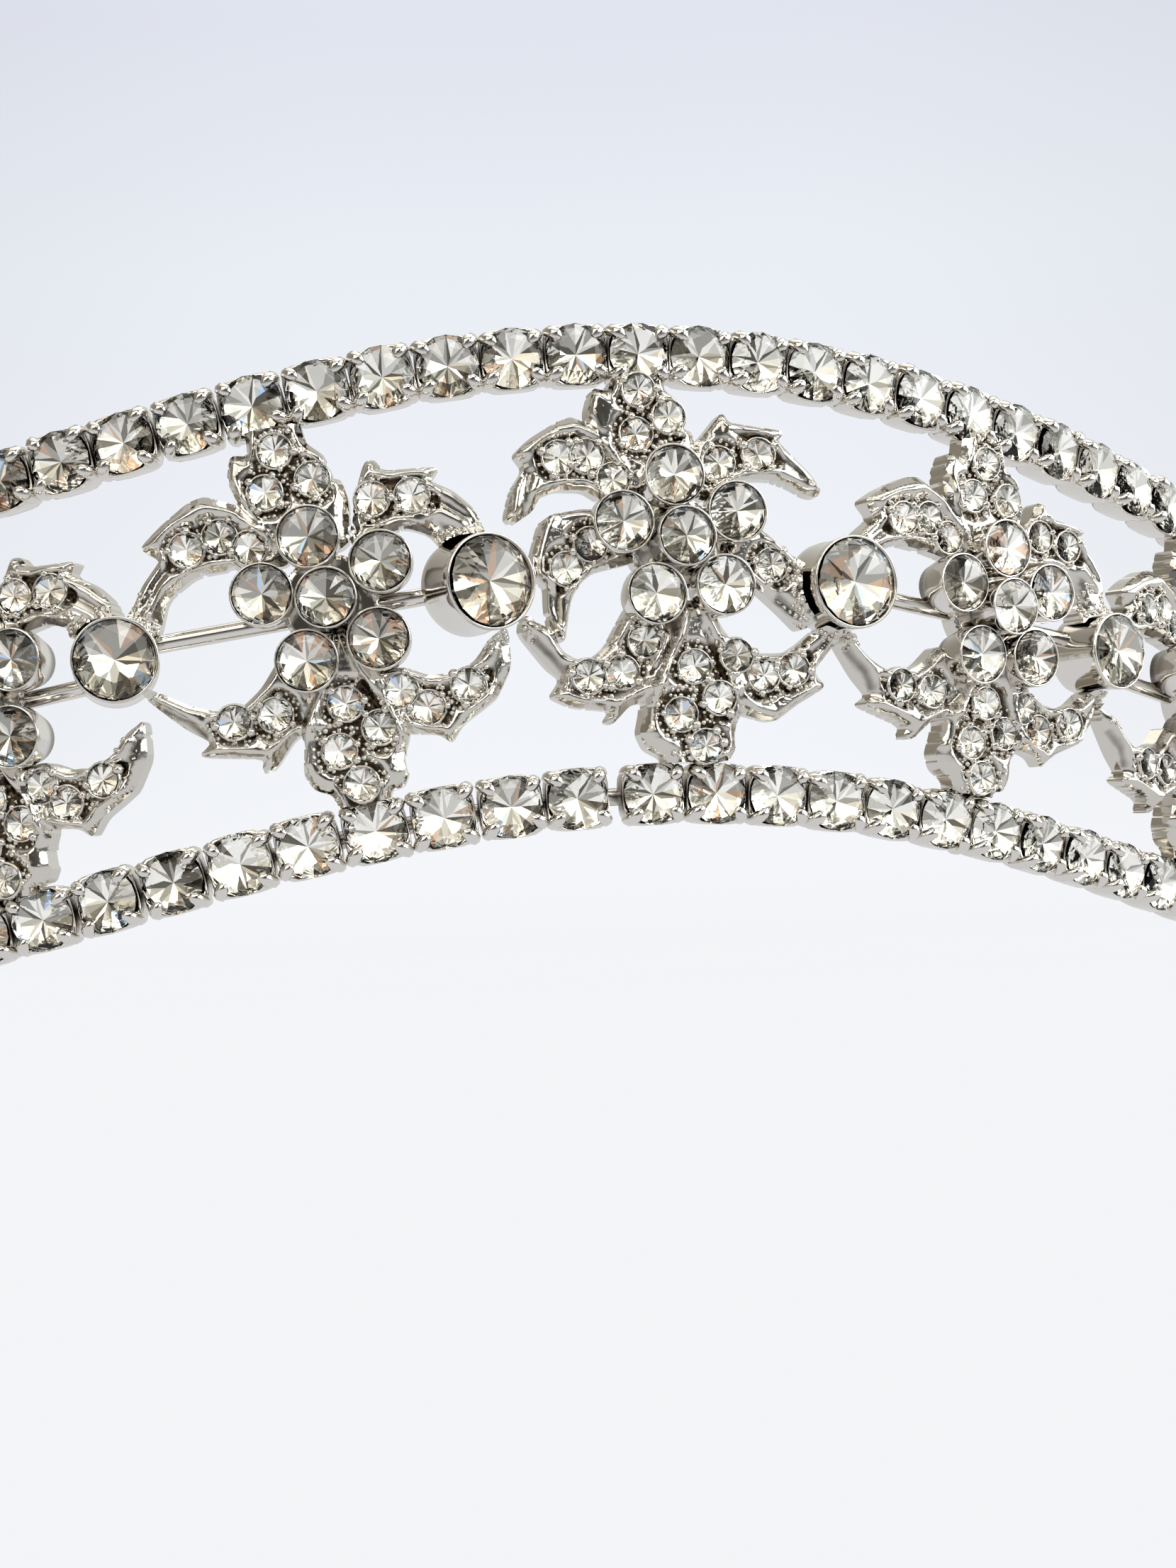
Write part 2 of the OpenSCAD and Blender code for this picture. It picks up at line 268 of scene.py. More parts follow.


# patchy tarnish and painted shade, as a mask: the grime and painted shade on the points plus a noise about
# zero for the tarnish patches, by a smooth step
def makeTarnishAndShadeGroup():
    inputs = {"Vector": None, "Grime and shade": 0.0, "Patch scale": 500.0, "Spread": 0.5}
    group, start, end = newGroup("tarnishAndShade", inputs, ["Mask", "Cloud"])
    noise = addNode(group, "ShaderNodeTexNoise", {
        "Vector": start.outputs["Vector"], "Scale": start.outputs["Patch scale"],
        "Detail": silver["patchDetail"]}).outputs["Fac"]
    patches = mathNode(group, "MULTIPLY", mathNode(group, "SUBTRACT", noise, 0.5), start.outputs["Spread"])
    level = mathNode(group, "ADD", patches, start.outputs["Grime and shade"], clamped=True)
    link(group, rangeNode(group, level, silver["maskReach"], soft=True), end.inputs["Mask"])
    link(group, noise, end.inputs["Cloud"])
    return group


# fine cast grain, as a height: a small noise with finer noise on it
def makeGrainGroup():
    inputs = {"Vector": None, "Grain scale": silver["grainScale"]}
    group, start, end = newGroup("castGrain", inputs, ["Height"])
    noise = addNode(group, "ShaderNodeTexNoise", {
        "Vector": start.outputs["Vector"], "Scale": start.outputs["Grain scale"],
        "Detail": silver["grainDetail"]})
    link(group, noise.outputs["Fac"], end.inputs["Height"])
    return group


tarnishAndShadeGroup = makeTarnishAndShadeGroup()
grainGroup = makeGrainGroup()


# plated metal: silver where clean; brown-black, duller and grainier where the mask of tarnish and painted
# shade says so
def makeSilver(name):
    finish = finishes[name]
    material, tree = newTree(name)
    place = addNode(tree, "ShaderNodeTexCoord").outputs["Object"]
    grimeAndShade = addNode(tree, "ShaderNodeAttribute", attribute_name="grimeAndShade").outputs["Fac"]
    tarnishAndShade = addNode(tree, "ShaderNodeGroup", {
        "Vector": place, "Grime and shade": grimeAndShade, "Patch scale": finish["patchScale"], "Spread": finish["spread"]},
        node_tree=tarnishAndShadeGroup)
    mask, cloud = tarnishAndShade.outputs["Mask"], tarnishAndShade.outputs["Cloud"]
    grain = addNode(tree, "ShaderNodeGroup", {"Vector": place}, node_tree=grainGroup)
    strength = mathNode(tree, "MULTIPLY_ADD", mask, finish["grain"], finish["grain"] * silver["cleanGrain"])
    bump = addNode(tree, "ShaderNodeBump", {
        "Strength": strength, "Distance": silver["grainDepth"], "Height": grain.outputs["Height"]})
    dull = mathNode(tree, "MULTIPLY_ADD", cloud, silver["cloudShare"], mask, clamped=True)
    addPrincipled(tree, {
        "Base Color": mixNode(tree, "RGBA", mask, (*finish["clean"], 1), (*finish["tarnishedAndShaded"], 1)),
        "Metallic": 1.0, "Roughness": rangeNode(tree, dull, (0, 1), finish["roughness"]),
        "Normal": bump.outputs["Normal"]})
    return material


# the foil's tones go from white through grey and smoke to copper and blue: painted reflections of the facets,
# light to dark, and painted copper and blue glints
paste = {"glass": (1.0, 0.998, 0.985), "index": 1.46, "wearScale": 900, "wearReach": (0.62, 0.8),
         "wear": 0.05, "foilRoughness": 0.04,
         "foilReflectionTones": ((0.0, (0.99, 0.985, 0.95)), (0.36, (0.7, 0.69, 0.65)), (0.58, (0.4, 0.39, 0.355)),
                       (0.78, (0.13, 0.12, 0.1)), (0.895, (0.58, 0.42, 0.32)), (0.93, (0.94, 0.9, 0.82)),
                       (0.985, (0.55, 0.72, 0.97)))}


# clear glass, with a trace of wear in its roughness where a noise is high
def makeGlass():
    material, tree = newTree("pasteGlass")
    place = addNode(tree, "ShaderNodeTexCoord").outputs["Object"]
    noise = addNode(tree, "ShaderNodeTexNoise", {"Vector": place, "Scale": paste["wearScale"]})
    wear = rangeNode(tree, noise.outputs["Fac"], paste["wearReach"], (0.0, paste["wear"]))
    addPrincipled(tree, {"Base Color": (*paste["glass"], 1), "Transmission Weight": 1.0,
                         "IOR": paste["index"], "Roughness": wear})
    return material


# foil behind the glass: each facet has one of the tones as its painted reflection
def makeFoil():
    material, tree = newTree("foilBack")
    facetReflection = addNode(tree, "ShaderNodeAttribute", attribute_name="facetReflection").outputs["Fac"]
    addPrincipled(tree, {"Base Color": rampNode(tree, facetReflection, paste["foilReflectionTones"], "CONSTANT"),
                         "Metallic": 1.0, "Roughness": paste["foilRoughness"]})
    return material


castSilver, smoothSilver, cupSilver = (makeSilver(name) for name in finishes)
glass = makeGlass()
foil = makeFoil()
print("materials made")


stones = {"table": 0.62, "star": 0.82, "crown": 0.24, "depth": 0.29, "lowerHalf": 0.3, "tip": 5.0,
          # along x the row stones' shifts are painted light: duller to the left, brighter to the right
          "seed": 11, "shiftPlaces": (-16, 2, 8, 28),
          "toneShifts": {"upper": (0.28, -0.1, -0.1, -0.35), "lower": (0.0, 0.0, 0.0, -0.25),
                         "small": (0.0, 0.0, 0.0, 0.0), "flower": (0.5, 0.08, 0.08, 0.08),
                         "large": (0.5, 0.08, 0.08, 0.08)}}


# brilliant of radius one, girdle at z = 0. The eight kites lie in planes that fall evenly from the table
# edge to the girdle along their own direction; the star points and the pavilion's lower halves lie in
# those planes too, so every facet is flat
def brilliantShape():
    a = np.arange(8) * np.pi / 4
    b = a + np.pi / 8
    c8 = math.cos(np.pi / 8)

    def ring(radius, angles, z):
        return np.stack([radius * np.cos(angles), radius * np.sin(angles), np.full(8, z)], -1)

    def facets(*columns):
        return np.stack(columns, -1)

    starZ = stones["crown"] * (1 - stones["star"] * c8) / (1 - stones["table"])
    lowZ = -stones["depth"] * (1 - stones["lowerHalf"] * c8)
    points = np.concatenate([ring(stones["table"], a, stones["crown"]), ring(stones["star"], b, starZ),
                             ring(1, a, 0), ring(1, b, 0), ring(stones["lowerHalf"], b, lowZ),
                             [[0, 0, -stones["depth"]]]])
    k = np.arange(8)
    corner, star, girdle, between, low = k, k + 8, k + 16, k + 24, k + 32
    culet = np.full(8, 40)
    after, before = (k + 1) % 8, (k - 1) % 8
    table = [[0, i, i + 1] for i in range(1, 7)]
    crown = np.concatenate([table, facets(corner, star, corner[after]), facets(corner, star[before], girdle),
                            facets(corner, girdle, star), facets(star, girdle, between),
                            facets(star, between, girdle[after])])
    back = np.concatenate([facets(culet, low, girdle), facets(culet, girdle, low[before]),
                           facets(low, between, girdle), facets(low, girdle[after], between)])
    return points, crown, back


brilliant, crownFaces, backFaces = brilliantShape()


# stones at flat places, each spun and tipped a little by chance, and set on the band. Each facet of the foil
# has a painted reflection tone by chance. A shift moves the tones to the duller ones, or to the brighter ones
# where it is below nothing; it changes along x by straight lines between the places of shiftPlaces, and on
# the rows it is painted light: duller to the left, brighter to the right
def keepStones(parts, centres, radius, place, chance, kind):
    n = len(centres)
    tip = math.radians(stones["tip"])
    local = scatter(brilliant, centres, radius, chance.uniform(0, np.pi / 4, n),
                    chance.uniform(-tip, tip, n), chance.uniform(-tip, tip, n))
    world = place(local)
    keep(parts, world, copyFaces(crownFaces, len(brilliant), n), 0, False)
    shift = np.interp(world[..., 0].mean(1), stones["shiftPlaces"], stones["toneShifts"][kind])[:, None]
    tone = chance.uniform(0, 1, (n, len(backFaces))) * (1 - np.abs(shift)) + np.maximum(shift, 0)
    keep(parts, world, copyFaces(backFaces, len(brilliant), n), 1, False, 0.0, tone)


rowStones = {"radius": 1.76, "height": 0.02}


def makeRowStones(name, places, v, node, seed, kind):
    chance = np.random.default_rng(seed)
    parts = []
    centres = np.tile([0, 0, rowStones["height"]], (len(places), 1))
    keepStones(parts, centres, rowStones["radius"],
               lambda local: onBand(local, places[:, None], v, slopeAt(places)[:, None]), chance, kind)
    return buildPiece(name, parts, [glass, foil], [node])


makeRowStones("upperRowStones", upperPlaces, band["spacing"], "upper_row_stones", stones["seed"], "upper")
makeRowStones("lowerRowStones", lowerPlaces, 0.0, "lower_row_stones", stones["seed"] + 1, "lower")
print("row stones set")


# the cup's outside and inside are (share of the plan, height above its back), and its grime and painted shade
# go by the rows of its section; the painted shade darkens the seat under the stone and the side walls where
# the cups nearly touch. The prong's path is (distance from the cup's axis, height), with a share of its
# thickness at each point
cups = {"back": -2.4, "rim": -0.06, "rimDip": 0.14, "wall": 0.16, "squareness": 4.6, "steps": 32,
        "stretch": 1.03, "stoneGap": 0.08, "seed": 21,
        "outside": [(0.05, 0.0), (0.62, 0.0), (0.8, 0.1), (0.9, 0.5), (0.985, 1.2)],
        "inside": [(0.45, 0.5), (0.05, 0.4)],
        "grimeAndShade": [0.1, 0.1, 0.1, 0.15, 0.3, 0.2, 0.05, 0.3, 0.9, 1.0, 1.0], "gapShade": 0.55, "spin": 0.015,
        "prongThick": 0.31, "prongWide": 1.15, "prongSides": 8, "prongTip": (1.24, 0, 0.38),
        "prongPath": [(2.03, -1.1), (2.05, -0.5), (1.98, 0.0), (1.78, 0.33), (1.5, 0.45), (1.3, 0.43)],
        "prongShares": [0.8, 1.0, 1.08, 1.1, 1.0, 0.55], "prongApart": 0.07, "prongSpin": 0.05,
        "prongSize": 0.02, "wireWide": 0.5, "wireDeep": 0.4, "wireHeight": -1.95, "wirePast": 0.6,
        "wireStep": 0.9, "wireSides": 8, "wireGrimeAndShade": 0.55}


# cup of a rounded square plan (a superellipse), narrower at the back; the rim rises to each corner as the
# square of the sine of twice the angle, and goes inwards to a round hole over a seat darkened with grime and
# painted shade
def cupShape():
    a = np.arange(cups["steps"]) * 2 * np.pi / cups["steps"]
    power = cups["squareness"]
    plan = band["cupHalf"] / (np.abs(np.cos(a)) ** power + np.abs(np.sin(a)) ** power) ** (1 / power)
    corner = np.sin(2 * a) ** 2
    rim = cups["rim"] - cups["rimDip"] * (1 - corner)
    hole = np.minimum(plan - cups["wall"], rowStones["radius"] - cups["stoneGap"])
    outside, inside = ([(plan * share, np.full(len(a), cups["back"] + height)) for share, height in cups[key]]
                       for key in ("outside", "inside"))
    lip = [(plan, rim - 0.12), (plan * 0.985, rim), (hole, rim - 0.02), (hole - 0.03, rim - 0.3)]
    rows = [*outside, *lip, *inside]
    points = np.stack([np.stack([r * np.cos(a), r * np.sin(a), z], -1) for r, z in rows])
    levels = np.array(cups["grimeAndShade"])[:, None]
    # painted shade on the side walls, where the cups nearly touch
    side = np.maximum(np.abs(np.cos(a)) ** 2 - 0.5, 0)[None]
    grimeAndShade = np.clip(levels + cups["gapShade"] * side * (levels < 0.5) * 2, 0, 1)
    return points.reshape(-1, 3), gridFaces(len(rows), cups["steps"], True), grimeAndShade.ravel()


# prong: circles carried along a path that rises at the cup's corner and bends in over the stone,
# ending in a round tip
def prongShape():
    path = np.array(cups["prongPath"])
    sides = cups["prongSides"]
    size = cups["prongThick"] * np.array(cups["prongShares"])
    along = np.gradient(path, axis=0)
    along /= np.linalg.norm(along, axis=1)[:, None]
    across = np.stack([along[:, 1], -along[:, 0]], -1)[:, None, :]
    a = np.arange(sides) * 2 * np.pi / sides
    out = path[:, None, :] + size[:, None, None] * np.cos(a)[None, :, None] * across
    wide = size[:, None] * cups["prongWide"] * np.sin(a)[None, :]
    points = np.stack([out[..., 0], wide, out[..., 1]], -1).reshape(-1, 3)
    last = np.arange(len(points) - sides, len(points))
    cap = np.stack([last, np.roll(last, -1), np.full(sides, len(points))], -1)
    return np.concatenate([points, [cups["prongTip"]]]), gridFaces(len(path), sides, True), cap


# round wire carried along the whole row behind the cups, darkened by grime and painted shade
def keepRowWire(parts, v):
    end, sides = band["rowEnd"] + cups["wirePast"], cups["wireSides"]
    steps = np.arange(-end, end + 0.01, cups["wireStep"])
    a = np.arange(sides) * 2 * np.pi / sides
    ring = np.stack([0 * a, cups["wireWide"] * np.cos(a),
                     cups["wireHeight"] + cups["wireDeep"] * np.sin(a)], -1)
    wire = onBand(np.broadcast_to(ring, (len(steps), sides, 3)), steps[:, None], v, slopeAt(steps)[:, None])
    for faces in (gridFaces(len(steps), sides, True), endFaces(len(steps), sides)):
        keep(parts, wire, faces, 0, True, cups["wireGrimeAndShade"])


def makeRow(name, places, v, node, seed):
    chance = np.random.default_rng(seed)
    parts = []
    n = len(places)
    zero = np.zeros((n, 3))
    s, turn = places[:, None], slopeAt(places)[:, None]
    points, faces, grimeAndShade = cupShape()
    points = points * (cups["stretch"], 1, 1)
    world = onBand(scatter(points, zero, 1.0, chance.normal(0, cups["spin"], n)), s, v, turn)
    for faces in (faces, endFaces(len(points) // cups["steps"], cups["steps"])):
        keep(parts, world, copyFaces(faces, len(points), n), 0, True, np.tile(grimeAndShade, n))
    points, faces, cap = prongShape()
    foot = np.arange(cups["prongSides"])[None, ::-1]
    for quarter in range(4):
        angle = np.pi / 4 + quarter * np.pi / 2 + np.where(quarter % 2, 1, -1) * cups["prongApart"]
        spin = angle + chance.normal(0, cups["prongSpin"], n)
        world = onBand(scatter(points, zero, chance.normal(1.0, cups["prongSize"], n), spin), s, v, turn)
        for shape in (faces, cap, foot):
            keep(parts, world, copyFaces(shape, len(points), n), 1)
    keepRowWire(parts, v)
    return buildPiece(name, parts, [cupSilver, smoothSilver], [node])


makeRow("upperCupRow", upperPlaces, band["spacing"], "upper_row", cups["seed"])
makeRow("lowerCupRow", lowerPlaces, 0.0, "lower_row", cups["seed"] + 1)
print("cup rows made")


# tubes: the two middle ones are larger than the side ones. Some are shifted along the band, and some are
# bent round to the right about their pivot, in degrees. The grime and painted shade go by the rows of the
# tube's section; the painted shade is the dark line inside the lip, next to the stone
collet = {"stoneRadius": 2.5, "stoneRise": 0.04, "stoneGrip": 0.02, "outer": 2.72, "back": -1.0, "rim": 2.4,
          "middle": (6, 7), "sideShare": 0.88, "sideRise": 0.35, "steps": 56, "pivot": 0.4, "seed": 200,
          "shifts": {5: -0.84, 6: -0.91, 7: 0.63}, "turns": {5: 18, 6: 22},
          "grimeAndShade": [0.2, 0.1, 0.1, 0.05, 0.2, 0.1, 0, 0, 0, 0.3, 0.9, 0.9, 0.6, 0.2]}


# size of tube number i against the middle ones
def colletShare(i):
    return 1.0 if i in collet["middle"] else collet["sideShare"]


# a point of tube number i: turned about the vertical line through its pivot, then set on the band
def onCollet(points, i):
    angle = math.radians(collet["turns"].get(i, 0))
    s = (i - 1 - band["motifCount"] / 2) * band["motifPitch"] + collet["shifts"].get(i, 0)
    rise = 0.0 if i in collet["middle"] else collet["sideRise"]
    p = np.asarray(points, float)
    z = p[..., 2] - collet["pivot"]
    bent = np.stack([p[..., 0] * math.cos(angle) + z * math.sin(angle), p[..., 1],
                     z * math.cos(angle) - p[..., 0] * math.sin(angle) + collet["pivot"]], -1)
    return onBand(bent, s, halfSpan + rise)


# the sunk ground between the beads and the grooves are darkened by grime and painted shade, at the levels
# below
leaf = {"cell": 0.14, "halfWidth": 10.6, "halfHeight": 11.2, "back": -0.9, "backBevel": 0.12, "front": 0.75,
        "rowOverlap": 0.15, "tubeGap": 0.02, "edgeShare": 0.72, "cornerCut": 0.14, "rimWidth": 0.5,
        "barWidth": 1.05, "shoulder": 0.75, "sink": 0.3, "fieldReach": 1.25, "lumps": 0.09, "lumpsLow": 0.28,
        "veinSpread": 1.25, "grooveShare": 0.6, "flowerDisc": 2.7, "discHeight": 0.35, "bareHeight": 0.2,
        "solderReach": 0.9, "solderLow": 0.35, "solderRise": 0.6, "solderRipple": 0.08,
        "fieldBlend": 0.5, "wellFrom": 0.75, "wellBlend": 0.7, "bevelWidth": 0.5, "seed": 100,
        "grimeAndShade": 0.12, "sunkGrimeAndShade": 0.8, "grooveGrimeAndShade": 0.55, "backGrime": 0.15, "backEdgeGrime": 0.2}

topLeaf = [(-1.8, 12), (-1.8, 9.4), (-2.8, 9.6), (-3.2, 8.2), (-2.8, 6.8), (-2, 5), (-1, 3.4),
           (2.8, 3.4), (3.2, 6), (3, 7.2), (2.4, 7.4), (2.4, 8.6), (1.4, 9.6), (1.2, 12)]
bottomLeaf = [(-1.6, -5), (-1.6, -7.2), (-1.9, -8.5), (-1.5, -9.4), (-0.4, -10), (-0.2, -12),
              (2.4, -12), (2.6, -10.2), (3.4, -10.1), (3.8, -9.4), (3.8, -8.2), (4.2, -7.4), (3.8, -5),
              (2.6, -1), (0.6, -1)]

# two patterns of casting: the side ones and the centre one. Each leaf is (height, outline); each vein is
# (height, width, points); small stones are (x, y)
sidePattern = {
    "heart": (1.2, 0.6),
    "leaves": [
        (0.0, [(-0.6, 3), (-1, 4.4), (-2.4, 6.6), (-4.6, 7.7), (-5.6, 7.5), (-7.4, 6.4), (-8.6, 5.4),
               (-7.6, 4.6),
               (-8.8, 3.4), (-9.6, 2.2), (-10.4, 0.4), (-8.4, 0.4), (-7.6, 2.4), (-5.8, 3.4), (-3.6, 3.4)]),
        (0.0, [(2.8, 3.2), (3.5, 6), (4.4, 8), (5, 8), (5.4, 7.3), (8.4, 7), (7.8, 6.3), (9, 5.5), (9.9, 4.4),
               (10.2, 3.4), (10.6, 1), (8.4, 0.6), (8, 2), (7.2, 3.4), (6, 4), (4.6, 3.8)]),
        (-0.05, [(-10, -2), (-8.6, -2.8), (-7.4, -3.6), (-6, -4.2), (-4.6, -4.2), (-3.4, -3.4), (-2.2, -2),
                 (-0.4, -3), (-0.6, -6.2), (-2, -6.4), (-3.4, -7.9), (-4.2, -8), (-3.9, -7.2), (-7.4, -6.5),
                 (-6.6, -5.8), (-7.8, -4.9), (-9.4, -3.2)]),
        (-0.05, [(2.4, -3.4), (4.6, -3.6), (5.8, -4.3), (7.2, -4.4), (8.4, -4), (9.4, -3), (10.6, -2.4),
                 (10.4, -4.6), (9.3, -6.2), (8.4, -6.7), (7.2, -7.3), (6.4, -8.2), (5.8, -7.6), (3.8, -7.2),
                 (2.8, -6)]),
        (0.25, topLeaf), (0.2, bottomLeaf)],
    "veins": [
        (0.3, 0.3, [(-8.4, 5.4), (-6.5, 6.4), (-4.8, 7.0), (-3.2, 6.3), (-2.0, 5.1), (-1.2, 3.8)]),
        (0.25, 0.22, [(-7.4, 4.5), (-8.6, 3.3), (-9.4, 2.0)]),
        (-0.3, 0.2, [(-6.9, 4.3), (-7.8, 3.4), (-8.7, 2.2)]),
        (0.22, 0.22, [(-6.2, 3.7), (-7.6, 3.0), (-8.7, 1.7)]),
        (0.25, 0.24, [(3.5, 6.4), (4.2, 7.3), (4.7, 7.8)]),
        (0.3, 0.24, [(5.0, 7.1), (6.6, 6.95), (8.2, 6.85)]),
        (-0.3, 0.2, [(5.2, 6.6), (7.4, 6.4)]),
        (0.28, 0.26, [(7.8, 6.1), (8.9, 5.2), (9.7, 4.3), (10.0, 3.5)]),
        (-0.35, 0.24, [(7.4, 5.5), (8.5, 4.7), (9.4, 3.8)]),
        (0.25, 0.22, [(4.8, 4.3), (6.6, 4.5), (8.0, 4.4), (9.2, 3.6)]),
        (0.3, 0.26, [(-9, -2.9), (-7.4, -3.9), (-5.6, -4.5), (-4.2, -4.4), (-2.8, -3.2), (-2.0, -2.3)]),
        (-0.35, 0.22, [(-8.8, -3.6), (-7.6, -4.5), (-6.8, -5.4)]),
        (0.32, 0.26, [(-7.2, -6.3), (-5.4, -6.6), (-3.6, -7.0), (-2.2, -6.2), (-1.0, -6.0)]),
        (0.3, 0.26, [(4.4, -3.9), (5.8, -4.5), (7.2, -4.7), (8.6, -4.3), (9.6, -3.4)]),
        (-0.35, 0.18, [(8.9, -5.2), (9.7, -4.3), (10.1, -3.4)]),
        (0.32, 0.26, [(9.0, -6.2), (7.6, -6.9), (6.3, -7.7), (5.2, -7.3), (4.2, -6.6)]),
        (0.4, 0.2, [(1.1, -1.2), (0.6, -3.2), (-0.5, -5.0), (-1.3, -6.4), (-1.6, -8.0)]),
        (-0.4, 0.16, [(0.6, -2.6), (-0.4, -4.4), (-1.4, -5.6)]),
        (0.4, 0.2, [(1.7, -1.2), (2.3, -3.4), (3.2, -5.2), (3.9, -7.2)]),
        (-0.4, 0.16, [(2.2, -4.2), (3.0, -6.0), (3.4, -7.4)]),
        (0.35, 0.2, [(2.9, -3.2), (3.7, -5.2), (4.5, -6.8)]),
        (0.3, 0.24, [(-2.8, 9.0), (-2.9, 8.2), (-2.5, 7.0)]),
        (0.3, 0.24, [(1.6, 9.0), (2.2, 8.6), (2.3, 7.6)])],
    "small": [(-0.3, 9.3), (1.5, 7.4), (-1.2, 7.1), (-6.0, 4.8), (-4.1, 5.2), (-2.6, 4.3), (4.5, 5.8),
              (6.7, 5.6), (-5.1, -5.0), (-2.8, -5.0), (1.1, -5.1), (2.7, -6.7), (0.3, -7.6), (1.2, -9.6),
              (4.2, -4.9), (5.5, -6.1), (7.9, -5.3)],
    "clumps": [(-8.9, 2.4, 0.9, 14), (8.6, 2.9, 0.9, 16), (-9.0, -2.7, 0.8, 14), (9.0, -3.2, 0.8, 12),
               (0.4, -10.6, 1.1, 20), (-0.2, 10.4, 1.1, 18), (2.6, 3.2, 0.8, 10), (-1.2, 4.2, 0.8, 10)]}
